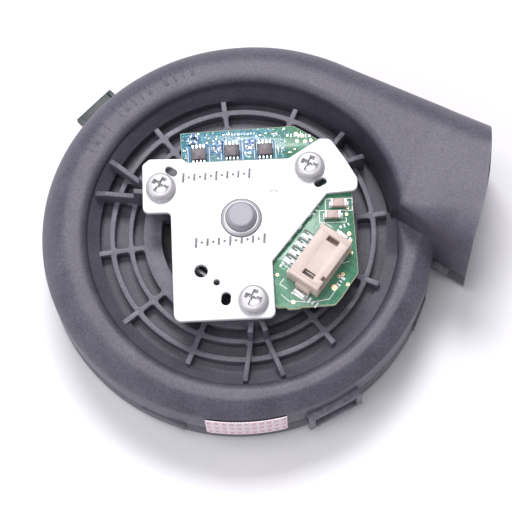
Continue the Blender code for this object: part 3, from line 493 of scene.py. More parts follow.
def plate(loops, z0, z1, bev=0.1, res=2):
    """Flat outline with holes and rounded rims, from a filled curve."""
    cu = bpy.data.curves.new("tmp_outline", 'CURVE')
    cu.dimensions = '2D'
    cu.fill_mode = 'BOTH'
    bev = min(bev, (z1 - z0) * 0.45)
    cu.extrude = (z1 - z0) / 2 - bev
    cu.bevel_depth = bev
    cu.bevel_resolution = res
    cu.offset = -bev
    for n, lp in enumerate(loops):
        want = 1 if n == 0 else -1
        pts = list(lp) if area2(lp) * want > 0 else list(lp)[::-1]
        sp = cu.splines.new('POLY')
        sp.points.add(len(pts) - 1)
        for i, p in enumerate(pts):
            sp.points[i].co = (p[0], p[1], 0.0, 1.0)
        sp.use_cyclic_u = True
    ob = bpy.data.objects.new("tmp_outline", cu)
    ALL.objects.link(ob)
    me = evaluated(ob)
    drop(ob)
    bpy.data.curves.remove(cu)
    bm = bmesh.new()
    bm.from_mesh(me)
    bmesh.ops.remove_doubles(bm, verts=bm.verts, dist=0.0005)
    bmesh.ops.translate(bm, vec=(0, 0, (z0 + z1) / 2), verts=bm.verts)
    return mesh_of(bm)


def tube(pts, r, n=8, closed=False):
    bm = bmesh.new()
    rings = []
    m = len(pts)
    up = Vector((0.3, 0.2, 1.0)).normalized()
    for i in range(m):
        a = pts[i - 1] if (i or closed) else pts[0]
        b = pts[(i + 1) % m] if (i < m - 1 or closed) else pts[-1]
        d = (Vector(b) - Vector(a)).normalized()
        s = d.cross(up).normalized()
        t = s.cross(d)
        rings.append([bm.verts.new(Vector(pts[i]) + (s * math.cos(2 * math.pi * k / n) + t * math.sin(2 * math.pi * k / n)) * r)
                      for k in range(n)])
    pairs = list(zip(rings, rings[1:])) + ([(rings[-1], rings[0])] if closed else [])
    for a, b in pairs:
        for k in range(n):
            j = (k + 1) % n
            bm.faces.new((a[k], a[j], b[j], b[k]))
    if not closed:
        bm.faces.new(rings[0])
        bm.faces.new(rings[-1][::-1])
    return mesh_of(bm)


def loft(rows, closed=False, cap=True):
    bm = bmesh.new()
    vs = [[bm.verts.new(p) for p in row] for row in rows]
    n = len(vs[0])
    for a, b in list(zip(vs, vs[1:])) + ([(vs[-1], vs[0])] if closed else []):
        for i in range(n):
            j = (i + 1) % n
            bm.faces.new((a[i], a[j], b[j], b[i]))
    if cap and not closed:
        bm.faces.new(vs[0])
        bm.faces.new(vs[-1])
    return mesh_of(bm)


class Piece:
    """One visible object gathered from several meshes, each with its material."""

    def __init__(self, name, body="housing"):
        self.name, self.body = name, body
        self.bm = bmesh.new()
        self.mats = []

    def add(self, me, mat):
        mat = mat.m if isinstance(mat, Mat) else mat
        if mat not in self.mats:
            self.mats.append(mat)
        n0 = len(self.bm.faces)
        for p in me.polygons:
            p.material_index = 0
        self.bm.from_mesh(me)
        self.bm.faces.ensure_lookup_table()
        for f in self.bm.faces[n0:]:
            f.material_index = self.mats.index(mat)
        bpy.data.meshes.remove(me)
        return self

    def add_kept(self, me):
        """Adds a mesh with the materials that it already carries."""
        for m in me.materials:
            if m not in self.mats:
                self.mats.append(m)
        to = [self.mats.index(m) for m in me.materials]
        ids = [to[p.material_index] for p in me.polygons]
        n0 = len(self.bm.faces)
        self.bm.from_mesh(me)
        self.bm.faces.ensure_lookup_table()
        for f, i in zip(self.bm.faces[n0:], ids):
            f.material_index = i
        bpy.data.meshes.remove(me)
        return self

    def done(self, replaces=(), angle=32.0, smooth=True):
        me = bpy.data.meshes.new(self.name)
        self.bm.to_mesh(me)
        self.bm.free()
        me.transform(TO_WORLD)
        for m in self.mats:
            me.materials.append(m)
        if smooth:
            me.polygons.foreach_set("use_smooth", [True] * len(me.polygons))
            me.set_sharp_from_angle(angle=math.radians(angle))
        ob = fresh(self.name, me)
        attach(ob, self.body)
        if replaces:
            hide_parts(*replaces)
        return ob


def polar(r, a, z=None):
    x, y = r * math.cos(math.radians(a)), r * math.sin(math.radians(a))
    return Vector((x, y)) if z is None else Vector((x, y, z))


def circle(r, n=64, cx0=0.0, cy0=0.0):
    return [Vector((cx0 + r * math.cos(2 * math.pi * i / n), cy0 + r * math.sin(2 * math.pi * i / n))) for i in range(n)]


def table(rows, a):
    """Smooth curve through (angle, value) rows that run downwards in angle."""
    if a >= rows[0][0]:
        return rows[0][1]
    if a <= rows[-1][0]:
        return rows[-1][1]
    k = 0
    while a < rows[k + 1][0]:
        k += 1

    def slope(i):
        j0, j1 = max(i - 1, 0), min(i + 1, len(rows) - 1)
        return (rows[j1][1] - rows[j0][1]) / (rows[j1][0] - rows[j0][0])
    (a0, v0), (a1, v1) = rows[k], rows[k + 1]
    h = a1 - a0
    t = (a - a0) / h
    m0, m1 = slope(k) * h, slope(k + 1) * h
    return ((2 * t ** 3 - 3 * t ** 2 + 1) * v0 + (t ** 3 - 2 * t ** 2 + t) * m0
            + (-2 * t ** 3 + 3 * t ** 2) * v1 + (t ** 3 - t ** 2) * m1)


# ================================================================== dimensions, as in the frame
GAP = 0.3
WALL = 1.5
R_RIM, R_FLOOR, R_HOLE, R_LAND = 30.7, 28.4, 16.1, 19.7
RING_C, RING_A = (21.7, 22.7), (25.3, 26.4)
Z_PART, Z_BASE, Z_FLOOR, Z_FLOOR_BOTTOM = -10.0, -18.0, -2.5, -3.9
SPOKE_START, SPOKE_W = 8.0, 1.05
A_TANGENT = 62.5
OUT_N, OUT_S = Vector((49.35, 20.6)), Vector((44.3, -6.5))
RIM_END, ROOF_TOP, END_BULGE = 4.5, 10.3, 1.1
R_SCREWS, SCREW_ANGLES, R_TOWER = 16.9, (38.0, 158.0, 278.0), 3.2
Z_PLATE, T_PLATE, Z_PCB_TOP, T_PCB = 8.0, 1.0, 7.7, 1.0
R_INLET, R_IMP, N_BLADES, N_SLOTS = 15.3, 29.3, 9, 9
WALL_R = [(-2, 37.65), (-12, 37.6), (-25, 37.3), (-45, 37.2), (-60, 37.2), (-75, 37.3), (-90, 37.5),
          (-105, 37.8), (-120, 38.2), (-135, 38.7), (-150, 39.3), (-165, 39.8), (-180, 40.1), (-195, 40.35),
          (-210, 40.45), (-230, 40.4), (-240, 40.3), (-260, 40.3), (-270, 40.4), (-285, 40.85), (-297.5, 41.25)]
RIM_Z = [(10, 0.4), (-20, 0.5), (-60, 0.8), (-90, 1.1), (-120, 1.6), (-150, 2.1), (-180, 2.7), (-210, 3.3),
         (-240, 3.8), (-270, 4.4), (-297.5, 5.6), (-330, 7.8), (-356, 9.6), (-360, 9.8)]
SHOULDER_W = [(10, 3.2), (-90, 3.3), (-135, 4.0), (-180, 4.8), (-225, 5.0), (-270, 5.6), (-297.5, 6.6), (-360, 7.5)]
SHOULDER_H = [(10, 2.6), (-90, 3.0), (-135, 4.2), (-180, 5.2), (-225, 5.8), (-270, 6.2), (-297.5, 7.6), (-360, 9.0)]
GUSSET_TOP, GUSSET_SPREAD = (4.2, 3.3, 0.95), 16.0
FOOT = Z_PART + GAP / 2
LOW_TOP = Z_PART - GAP / 2
out_dir = (OUT_N - OUT_S).normalized()
out_normal = Vector((out_dir.y, -out_dir.x))
rim_end = polar(R_RIM, RIM_END)
south_dir = (OUT_S - rim_end).normalized()
south_normal = Vector((-south_dir.y, south_dir.x))
tangent_pt = polar(table(WALL_R, A_TANGENT - 360), A_TANGENT)
north_dir = (OUT_N - tangent_pt).normalized()
south_angle = math.degrees(math.atan2(south_dir.y, south_dir.x))


# ================================================================== upper shell
def shell_section(inner, outer, top, sw, sh, rw, rh, foot_x, foot_z1, foot_z2, bulge=0.0, flat=0.0):
    inner, outer = Vector(inner), Vector(outer)
    u = (outer - inner).normalized()
    length = (outer - inner).length
    t = WALL
    pts = [(length - 0.22, FOOT), (length - 0.07, FOOT + 0.05), (length, FOOT + 0.22)]
    for k in range(11):
        a = math.pi / 2 * k / 10
        f = k / 10
        x = length - sw + sw * math.cos(a)
        z = top - sh + sh * math.sin(a)
        x += (length - sw * f - x) * flat
        z += (top - sh * (1 - f) - z) * flat
        pts.append((x, z))
    for k in range(1, 3):
        pts.append((length - sw + (rw - length + sw) * k / 3, top))
    for k in range(7):
        a = math.pi / 2 * k / 6
        pts.append((rw - rw * math.sin(a), top - rh + rh * math.cos(a)))
    z_in = top - rh
    for k in range(1, 4):
        f = k / 4
        pts.append((foot_x * f, z_in + (foot_z1 - z_in) * f))
    pts += [(foot_x, foot_z1), (foot_x, (foot_z1 + foot_z2) / 2), (foot_x, foot_z2)]
    pts += [(foot_x + t, foot_z2), (foot_x + t, foot_z1 - 0.5)]
    ri_w, ri_h = max(rw - t, 0.4), max(rh - t, 0.4)
    for k in range(5):
        a = math.pi / 2 * (4 - k) / 4
        pts.append((t + ri_w - ri_w * math.sin(a), top - t - ri_h + ri_h * math.cos(a)))
    wi, hi = max(sw - t, 0.5), max(sh - t, 0.5)
    for k in range(9):
        a = math.pi / 2 * (8 - k) / 8
        pts.append((length - t - wi + wi * math.cos(a), top - t - hi + hi * math.sin(a)))
    pts.append((length - t, FOOT))
    out = []
    for s, z in pts:
        p = inner + u * s
        if bulge:
            amount = bulge * math.sin(math.pi * min(max(s / length, 0), 1)) ** 1.5 * min(max((z + 6) / 10, 0), 1)
            p = p + out_normal * amount
        out.append((p.x, p.y, z))
    return out


def foot_height(top):
    return min(max(top - 2.6, -1.7), 0.0)


def scroll_station(a):
    top = table(RIM_Z, a)
    return shell_section(polar(R_RIM, a), polar(table(WALL_R, a), a), top, table(SHOULDER_W, a), table(SHOULDER_H, a),
                         2.1, 1.6, -(R_RIM - R_FLOOR), foot_height(top), -4.0, flat=table(FLATS, a))


FLATS = [(-2, 0.75), (-60, 0.8), (-120, 0.75), (-170, 0.5), (-230, 0.25), (-297.5, 0.0)]
rows = [shell_section(polar(R_RIM, 6.5), rim_end + south_dir * 8.45 + south_normal * 0.75, table(RIM_Z, 0), 3.2, 2.6, 0.5, 0.5,
                      -2.0, -1.6, -3.8)]
N_SCROLL = 116
for i in range(N_SCROLL + 1):
    rows.append(scroll_station(-7 + (A_TANGENT - 360 + 7) * i / N_SCROLL))
FR = [(62.5, 0.0), (52, 0.13), (41, 0.26), (30, 0.40), (19, 0.54), (10, 0.66), (4.5, 0.74)]
for i in range(1, 31):
    a = 62.5 + (RIM_END - 62.5) * i / 30
    f = table(FR, a)
    w = min(max((10 - a) / 5.5, 0.0), 1.0)
    top = table(RIM_Z, a - 360)
    fh = foot_height(top)
    rows.append(shell_section(polar(R_RIM, a), tangent_pt.lerp(OUT_N, f), top, table(SHOULDER_W, a - 360),
                              table(SHOULDER_H, a - 360), 2.1 - 0.9 * w, 1.6 - 0.4 * w, -(R_RIM - R_FLOOR) * (1 - w),
                              fh + (-6.0 - fh) * w, -4.0 + (FOOT + 4.0) * w))
top_end = table(RIM_Z, RIM_END - 360)
F2 = [(0, 0.74), (-0.25, 0.81), (-0.5, 0.87), (-0.75, 0.935), (-1.0, 1.0)]
T2 = [(0, top_end), (-1.0, ROOF_TOP + 0.4)]
for i in range(1, 17):
    k = i / 16
    e = min(k * 1.15, 1.0)
    r = 1.2 + 5.8 * e * e * (3 - 2 * e)
    rows.append(shell_section(rim_end.lerp(OUT_S, k), tangent_pt.lerp(OUT_N, table(F2, -k)), table(T2, -k), 7.5, 9.0, r, r, 0.0,
                              -6.0, FOOT, bulge=END_BULGE * max(0.0, (k - 0.35) / 0.65) ** 2))

P = Piece("upper_shell_skin")
P.add(loft(rows), SHELL)
P.done(["upper_shell"], angle=40.0)

# small plain bars where the moulding has its marks
P = Piece("shell_mould_marks")
for k in range(15):
    a = 151.0 - 3.15 * k
    if k in (4, 10):
        continue
    w = (0.28, 0.9, 0.5, 0.28, 0.7)[k % 5]
    c = polar(34.9, a)
    top = table(RIM_Z, a - 360)
    P.add(box((2.5, w, 0.5), (c.x, c.y, top - 0.21), turn=a, bevel=0.06), SHADE_AND_MARK_PLASTIC)
P.done()

# ------------------------------------------------------------------ well: floor, ribs, spokes, gussets, towers
P = Piece("well_floor_plate")
# the floor plate is darker than the ribs as painted shade in the pockets
P.add(spin(soft([(29.3, Z_FLOOR), (29.3, Z_FLOOR_BOTTOM), (R_HOLE + 0.3, Z_FLOOR_BOTTOM), (R_HOLE + 0.3, Z_FLOOR)], 0.15), 144), SHADE_AND_MARK_PLASTIC)
P.done()


def tower_gap(r):
    return math.degrees(math.asin((r - R_SCREWS) * math.tan(math.radians(GUSSET_SPREAD)) / r))


def pocket(r0, r1, a0, a1, seg=9):
    pts = [polar(r1, a0 + (a1 - a0) * k / seg) for k in range(seg + 1)]
    pts += [polar(r0, a1 - (a1 - a0) * k / seg) for k in range(seg + 1)]
    rad = [0.0] * len(pts)
    for i in (0, seg, seg + 1, 2 * seg + 1):
        rad[i] = 0.55
    return rounded(pts, rad, 3)


loops = [circle(RING_A[1], 180), circle(R_HOLE, 144)]
for r0, r1 in ((R_LAND, RING_C[0]), (RING_C[1], RING_A[0])):
    rm = (r0 + r1) / 2
    for i in range(12):
        a0 = SPOKE_START + 30 * i
        a1 = a0 + 30
        e0 = e1 = math.degrees(SPOKE_W / 2 / rm)
        for sa in SCREW_ANGLES:
            if abs((a0 - sa + 180) % 360 - 180) < 1:
                e0 = tower_gap(rm) + math.degrees(SPOKE_W / 2 / rm)
            if abs((a1 - sa + 180) % 360 - 180) < 1:
                e1 = tower_gap(rm) + math.degrees(SPOKE_W / 2 / rm)
        loops.append(pocket(r0, r1, a0 + e0, a1 - e1))
for sa in SCREW_ANGLES:
    r0, r1 = RING_C[1], RING_A[0]
    h = tower_gap((r0 + r1) / 2) - math.degrees(SPOKE_W / 2 / r0)
    loops.append(pocket(r0, r1, sa - h, sa + h, seg=4))
P = Piece("well_rib_grid")
P.add(plate(loops, Z_FLOOR - 0.2, 0.0, 0.16, 2), RIBS)
for i in range(12):
    a = SPOKE_START + 30 * i
    if any(abs((a - sa + 180) % 360 - 180) < 1 for sa in SCREW_ANGLES):
        continue
    r_end = 28.7 if a in (8.0, 248.0, 308.0, 338.0) else 29.55
    p = polar((25.65 + r_end) / 2, a)
    P.add(box((r_end - 25.65, SPOKE_W, 2.75), (p.x, p.y, -1.37), turn=a, bevel=0.16), RIBS)
P.done()

P = Piece("screw_towers")
for k, sa in enumerate(SCREW_ANGLES):
    c = polar(R_SCREWS, sa)
    P.add(spin(soft([(0, -0.5), (1.75, -0.5), (1.75, Z_PLATE - GAP), (R_TOWER, Z_PLATE - GAP), (R_TOWER + 0.25, -2.62), (0, -2.62)],
                    0.15, 2, False), 48, (c.x, c.y, 0), closed=False), RIBS)
    for side in (-1, 1):
        d = sa + side * GUSSET_SPREAD
        u = polar(1, d)
        length, z1, z0 = (9.4, 11.3, 11.5)[k], GUSSET_TOP[k], -2.6
        # side view of the gusset: full height by the tower, nose falls away at its outer end
        line = rounded([(2.2, z0), (2.2 + length, z0), (2.2 + length, z1 - 0.55), (2.2 + length - 2.0, z1 - 0.05), (5.7, z1),
                        (5.65, 6.3), (2.4, 6.3), (2.2, 6.2)], [0, 0, 0.3, 0.9, 0.35, 0.2, 0.1, 0], 3)
        g = plate([line], -0.5, 0.5, 0.14, 2)
        g.transform(Matrix(((u.x, 0, -u.y, c.x), (u.y, 0, u.x, c.y), (0, 1, 0, 0), (0, 0, 0, 1))))
        P.add(g, RIBS)
P.done()

# ------------------------------------------------------------------ lower shell
t_line = 0.0
while (rim_end + south_dir * t_line).length < table(WALL_R, -3.4):
    t_line += 0.05
corner = rim_end + south_dir * t_line
outline = [corner]
n_out = 116
for i in range(n_out + 1):
    a = -7 + (A_TANGENT - 360 + 7) * i / n_out
    outline.append(polar(table(WALL_R, a), a))
outline += [tangent_pt.lerp(OUT_N, 0.25), tangent_pt.lerp(OUT_N, 0.5), tangent_pt.lerp(OUT_N, 0.8),
            OUT_N + north_dir * 9.0, OUT_S + south_dir * 9.0, corner.lerp(OUT_S, 0.5)]


def inset(points, d):
    out = []
    n = len(points)
    for i in range(n):
        p0, p, p1 = points[i - 1], points[i], points[(i + 1) % n]
        e0, e1 = (p - p0).normalized(), (p1 - p).normalized()
        n0, n1 = Vector((e0.y, -e0.x)), Vector((e1.y, -e1.x))
        m = (n0 + n1).normalized()
        out.append(p + m * (d / max(m.dot(n0), 0.3)))
    return out


def ring(points, d, z):
    return [(p.x, p.y, z) for p in inset(points, d)]


edge = 3.2
rings = [ring(outline, 0.18, LOW_TOP), ring(outline, 0.05, LOW_TOP - 0.05), ring(outline, 0.0, LOW_TOP - 0.2)]
for k in range(10):
    a = math.pi / 2 * k / 9
    rings.append(ring(outline, edge - edge * math.cos(a), Z_BASE + edge - edge * math.sin(a)))
low = loft(rings)
wide = [Vector((p.x, p.y)) for p in outline]
wide[-3] = wide[-3] + north_dir * 3.0
wide[-2] = wide[-2] + south_dir * 3.0
cav = [ring(wide, WALL, LOW_TOP + 2.0), ring(wide, WALL, Z_BASE + WALL + 1.8)]
for k in range(1, 6):
    a = math.pi / 2 * k / 5
    cav.append(ring(wide, WALL + 1.8 - 1.8 * math.cos(a), Z_BASE + WALL + 1.8 - 1.8 * math.sin(a)))
mid_out = (OUT_N + OUT_S) / 2 + out_normal * 10.0
beyond = box((20, 80, 60), (mid_out.x, mid_out.y, 0), turn=math.degrees(math.atan2(out_normal.y, out_normal.x)), bevel=0)
hole = spin([(0, -14.0), (R_INLET + 0.7, -14.0), (R_INLET + 0.7, -19.0), (0, -19.0)], 120, closed=False)
low = boolean(low, [loft(cav), beyond, hole])
P = Piece("lower_shell_skin")
P.add(low, LOWER)
# lap joint inside the parting line
beyond = box((20, 80, 60), (mid_out.x, mid_out.y, 0), turn=math.degrees(math.atan2(out_normal.y, out_normal.x)), bevel=0)
lap = loft([ring(wide, 0.42, LOW_TOP - 0.6), ring(wide, 0.42, LOW_TOP + 0.9)])
P.add(boolean(lap, [loft([ring(wide, 0.85, LOW_TOP - 1.6), ring(wide, 0.85, LOW_TOP + 2.0)]), beyond]), LOWER)
P.add(spin(soft([(R_INLET + 0.6, -14.6), (R_INLET + 1.2, -15.6), (R_INLET + 1.7, -16.9), (R_INLET + 1.7, -17.7),
                 (R_INLET - 0.1, -17.35), (R_INLET - 0.5, -16.0), (R_INLET - 0.1, -14.7)], 0.3, 3), 120), LOWER)
tongue_mid = rim_end.lerp(corner, 0.55) + south_normal * 0.8
P.add(box(((corner - rim_end).length * 0.95, 1.4, 7.0), (tongue_mid.x, tongue_mid.y, -13.75), turn=south_angle, bevel=0.2), LOWER)
web_mid = corner + south_dir * 1.6 - south_normal * 0.5
P.add(box((5.6, 1.6, 1.2), (web_mid.x, web_mid.y, LOW_TOP - 0.85), turn=south_angle, bevel=0.2), RIBS)
# three catches on the lower edge
for pa, w in ((-181, 9.6), (-115, 9.6), (-21, 7.0)):
    p = polar(table(WALL_R, pa) - 0.4, pa)
    P.add(box((1.3, w, 2.6), (p.x, p.y, -11.7), turn=pa, bevel=0.18), LOWER)
    q = polar(table(WALL_R, pa) - 0.02, pa)
    P.add(box((0.6, w - 2.6, 0.9), (q.x, q.y, -11.7), turn=pa, bevel=0.15), LOWER)
loop_a = -62.0
lr = table(WALL_R, loop_a)
p = polar(lr - 0.05, loop_a)
P.add(box((1.5, 6.0, 1.5), (p.x, p.y, -11.05), turn=loop_a, bevel=0.25, top=(0.6, 1.0)), LOWER)
P.done(["lower_shell"], angle=32.0)

# ------------------------------------------------------------------ snap loop and side tab
loop_u, loop_v = polar(1, loop_a), polar(1, loop_a + 90)
P = Piece("snap_loop")
for side in (-1, 1):
    q = loop_u * (lr + 0.85) + loop_v * (5.2 * side)
    P.add(box((1.0, 1.3, 6.6), (q.x, q.y, -9.8), turn=loop_a, bevel=0.2), RIBS)
q = loop_u * (lr + 0.87)
P.add(box((1.06, 11.74, 1.4), (q.x, q.y, -12.9), turn=loop_a, bevel=0.22), RIBS)
q = polar(lr + 0.3, loop_a)
P.add(box((1.9, 11.6, 1.3), (q.x, q.y, -7.1), turn=loop_a, bevel=0.25), RIBS)
P.done()

P = Piece("side_tab_lug")
q = polar(table(WALL_R, -225) + 1.3, -225)
P.add(box((5.0, 9.4, 1.6), (q.x, q.y, -8.6), turn=-225, bevel=0.3, seg=3), TAB)
for s in (-1, 1):
    v = polar(4.2 * s, -135)
    P.add(box((4.4, 0.9, 0.9), (q.x + v.x, q.y + v.y, -7.55), turn=-225, bevel=0.2), TAB)
P.done()

# ================================================================== motor plate
plate_pts = [(-19.4, 11.2), (-18.0, 12.4), (-11.6, 12.45), (-10.5, 11.6), (9.2, 12.3), (15.3, 16.4), (17.4, 16.3),
             (20.2, 12.2), (22.6, 8.0), (22.6, 5.5), (16.6, 4.9), (6.0, -8.8), (6.6, -20.1), (-12.8, -20.8), (-13.7, 1.3),
             (-19.1, 1.2)]
plate_rad = [1.0, 1.0, 0.8, 0.8, 0.8, 1.0, 1.4, 1.2, 1.6, 1.3, 0.4, 0.5, 1.3, 1.5, 0.8, 1.2]
loops = [rounded(plate_pts, plate_rad, 6)]
for sa in SCREW_ANGLES:
    c = polar(R_SCREWS, sa)
    loops.append(circle(1.75, 40, c.x, c.y))
for (x, y), turn, lx, ly in (((-13.7, 9.8), -34, 2.5, 1.5), ((15.4, 7.2), 24, 2.5, 1.5), ((-2.9, -16.3), 84, 2.6, 1.8)):
    pts = []
    for k in range(26):
        a = -math.pi / 2 + math.pi * k / 12 if k < 13 else math.pi / 2 + math.pi * (k - 13) / 12
        sx = (lx - ly) / 2 if k < 13 else -(lx - ly) / 2
        pts.append(Vector((sx + ly / 2 * math.cos(a), ly / 2 * math.sin(a))))
    rot = Matrix.Rotation(math.radians(turn), 2)
    loops.append([rot @ q + Vector((x, y)) for q in pts])
loops.append(circle(1.25, 36, -7.7, -10.7))
loops.append(circle(0.6, 24, -4.7, -13.0))
P = Piece("motor_plate_sheet")
boss_hole = spin([(0, 12), (3.7, 12), (3.7, 5), (0, 5)], 96, closed=False)
P.add(boolean(plate(loops, Z_PLATE, Z_PLATE + T_PLATE, 0.14, 3), [boss_hole]), ZINC)
# drawn cup for the shaft's end, with its stepped crown
P.add(spin(soft([(0, 11.3), (2.25, 11.3), (2.5, 11.05), (2.62, 10.2), (2.78, 10.05), (2.9, 9.6), (3.45, 9.5), (3.72, 9.25), (3.82, 9.0), (3.82, 8.6),
                 (3.5, 8.1), (3.5, 9.5), (1.9, 9.7), (1.9, 10.75), (0, 10.75)], 0.22, 4, False), 96, closed=False), BOSS)
P.add(spin(soft([(3.78, 9.28), (3.3, 9.6), (3.1, 9.6), (3.1, 9.4), (3.78, 9.1)], 0.05, 2), 96), SCREW)
P.add(spin(soft([(3.02, 9.64), (2.9, 9.66), (2.9, 9.5), (3.02, 9.5)], 0.02, 1), 96), STAMP_AND_SHADE)
# dark ring on the plate round the boss's foot is painted shade of the crease; coined rim round the round hole and small
# burrs left by the press
P.add(spin(soft([(4.02, 9.03), (3.75, 9.03), (3.75, 8.95), (4.02, 8.95)], 0.02, 1), 96), STAMP_AND_SHADE)
P.add(spin(soft([(1.75, 9.05), (1.35, 9.05), (1.35, 8.96), (1.75, 8.96)], 0.02, 1), 48, (-7.7, -10.7, 0)), ZINC)
for x, y, t in ((-13.55, 4.6, 92), (-13.15, -7.2, 92), (11.4, -1.9, 52), (13.3, 0.6, 52), (9.3, -4.5, 52)):
    P.add(box((1.0, 0.34, 0.42), (x, y, 8.55), turn=t, bevel=0.1), SCREW)
P.done(["motor_plate"], angle=30.0)

# stamped tally marks in place of characters
P = Piece("plate_tally_marks")
for x0, y0, turn, n, pitch in ((-11.3, 8.45, 3.5, 7, 2.15), (-8.7, -5.0, 3.5, 7, 2.2)):
    d = polar(1, turn)
    for k in range(n):
        c = Vector((x0, y0)) + d * (pitch * k)
        tall = (2.0, 1.5, 1.5, 2.0, 1.5, 1.5, 2.0)[k]
        P.add(box((0.44, tall, 0.06), (c.x, c.y, 9.01), turn=turn - 6, bevel=0.015, seg=1), STAMP_AND_SHADE)
        if k < n - 1:
            e = c + d * (pitch / 2)
            P.add(spin(soft([(0, 9.03), (0.27, 9.03), (0.27, 8.98), (0, 8.98)], 0.02, 1, False), 16, (e.x, e.y, 0), closed=False), STAMP_AND_SHADE)
P.add(tube([(6.3 + 0.75 * math.cos(math.radians(w)), 5.0 + 0.75 * math.sin(math.radians(w)), 9.0) for w in range(20, 171, 15)], 0.07, 6), STAMP_AND_SHADE)
P.done()

# ------------------------------------------------------------------ screws


def cross_cutter(half, wing, z_top, z_bot, shrink):
    def outline_at(h, w):
        return [(h, -w), (h, w), (w, w), (w, h), (-w, h), (-w, w), (-h, w), (-h, -w), (-w, -w), (-w, -h), (w, -h), (w, -w)]
    rows_ = [[(x, y, z_top) for x, y in outline_at(half, wing)],
             [(x, y, z_bot) for x, y in outline_at(half * shrink, wing * 0.7)]]
    return loft(rows_)


CROSS_TURN = (66.0, 58.0, 70.0)
for k, sa in enumerate(SCREW_ANGLES):
    c = polar(R_SCREWS, sa)
    z0 = Z_PLATE + T_PLATE + GAP
    head = spin(soft([(0, z0 + 1.75), (1.4, z0 + 1.72), (2.25, z0 + 1.58), (2.66, z0 + 1.28), (2.82, z0 + 0.7), (2.86, z0), (1.4, z0),
                      (1.4, 1.2), (0.9, 0.2), (0, 0.0)], 0.3, 4, False), 72, closed=False)
    cut = cross_cutter(1.98, 0.6, z0 + 2.2, z0 + 0.75, 0.62)
    place(cut, turn=CROSS_TURN[k])
    dimple = spin([(0, z0 + 2.2), (0.95, z0 + 2.2), (0.45, z0 + 0.1), (0, z0 + 0.1)], 32, closed=False)
    # the recess faces get the darker steel as painted shade
    cut.materials.append(RECESS_SHADE_METAL.m)
    dimple.materials.append(RECESS_SHADE_METAL.m)
    head.materials.append(SCREW.m)
    head = boolean(head, [cut, dimple])
    P = Piece("plate_screw_%d_head" % (k + 1))
    P.add_kept(place(head, (c.x, c.y, 0)))
    # pressed collar under the head
    P.add(spin(soft([(2.95, z0 + 0.1), (2.95, z0 - 0.12), (1.8, z0 - 0.12), (1.8, z0 + 0.1)], 0.08, 2), 64, (c.x, c.y, 0)), SCREW)
    # thread on the shank
    turns = 8
    pts = [(c.x + 1.42 * math.cos(w), c.y + 1.42 * math.sin(w), 1.6 + 6.0 * w / (2 * math.pi * turns))
           for w in [2 * math.pi * turns * i / (turns * 20) for i in range(turns * 20 + 1)]]
    P.add(tube(pts, 0.16, 5), SCREW)
    P.done(["plate_screw_%d" % (k + 1)], angle=30.0)

# ================================================================== circuit board
board_pts = [(-12.1, 18.3), (10.3, 19.6), (14.9, 16.8), (19.2, 12.6), (21.5, 8.6), (21.5, 5.5), (21.8, 0.0), (22.4, -9.3),
             (22.5, -10.8), (21.7, -12.0), (19.2, -15.8), (17.9, -17.3), (11.6, -17.7), (10.9, -18.0), (8.9, -18.1),
             (8.6, -17.7), (6.8, -17.8), (6.3, -17.0), (5.4, -12.6), (-4.4, -11.4), (-8.6, -7.6), (-11.3, -3.0), (-11.7, 2.0), (-11.8, 13.4)]
board_rad = [0.3, 0.3, 0.3, 1.0, 1.0, 0.5, 0.0, 0.0, 1.2, 0.5, 0.4, 0.8, 0.3, 0.3, 0.2, 0.2, 0.2, 0.3, 1.0, 1.0, 1.0, 1.0, 0.5, 0.5]
tc = polar(R_SCREWS, SCREW_ANGLES[0])
P = Piece("circuit_board_sheet")
line = rounded(board_pts, board_rad, 4)
holes = [circle(7.0, 72), circle(4.1, 48, tc.x, tc.y)]
P.add(plate([line] + holes, Z_PCB_TOP - T_PCB + 0.06, Z_PCB_TOP - 0.06, 0.04, 1), EDGE)
P.add(plate([inset(line, 0.10) if area2(line) < 0 else inset(line[::-1], 0.10)] + holes, Z_PCB_TOP - 0.09, Z_PCB_TOP, 0.02, 1), BOARD)
P.add(plate([inset(line, 0.10) if area2(line) < 0 else inset(line[::-1], 0.10)] + holes, Z_PCB_TOP - T_PCB, Z_PCB_TOP - T_PCB + 0.09, 0.02, 1),
      BOARD)
P.done(["circuit_board"], angle=30.0)

ZT = Z_PCB_TOP
HEAD_A = 54.5
hu, hv = polar(1, HEAD_A), polar(1, HEAD_A - 90)
pin_mid = Vector((11.25, -6.5))
h_mid = pin_mid + hv * 4.75
H_LEN, H_DEEP, H_TALL = 11.8, 6.8, 4.6
hz0 = ZT + GAP


def strip(p, a, length, wide_, mat, piece, z=None, tall=0.03):
    piece.add(box((length, wide_, tall), (p[0], p[1], (ZT if z is None else z) + tall / 2), turn=a, bevel=0.008, seg=1), mat)


P = Piece("board_silk_lines")
# frames round the two capacitors
for x, y in ((18.9, 3.0), (17.7, 0.6)):
    for dx, dy, lx, ly in ((0, 1.25, 5.2, 0.16), (0, -1.25, 5.2, 0.16), (-2.6, 0, 0.16, 2.6), (2.6, 0.75, 0.16, 1.1), (2.6, -0.75, 0.16, 1.1)):
        strip((x + dx, y + dy), 1.5, lx, ly, SILK, P)
# corner marks round the header
for s in (-1, 1):
    e = h_mid + hu * (s * 7.6)
    c = e - hv * 3.2
    strip(c, HEAD_A, 0.16, 1.7, SILK, P)
    c = h_mid + hu * (s * 6.9) - hv * 4.1
    strip(c, HEAD_A, 1.5, 0.16, SILK, P)
for i in range(5):
    c = h_mid + hu * ((i - 2) * 2.0) - hv * 4.6
    strip(c, HEAD_A, 0.14, 2.5, SILK, P)
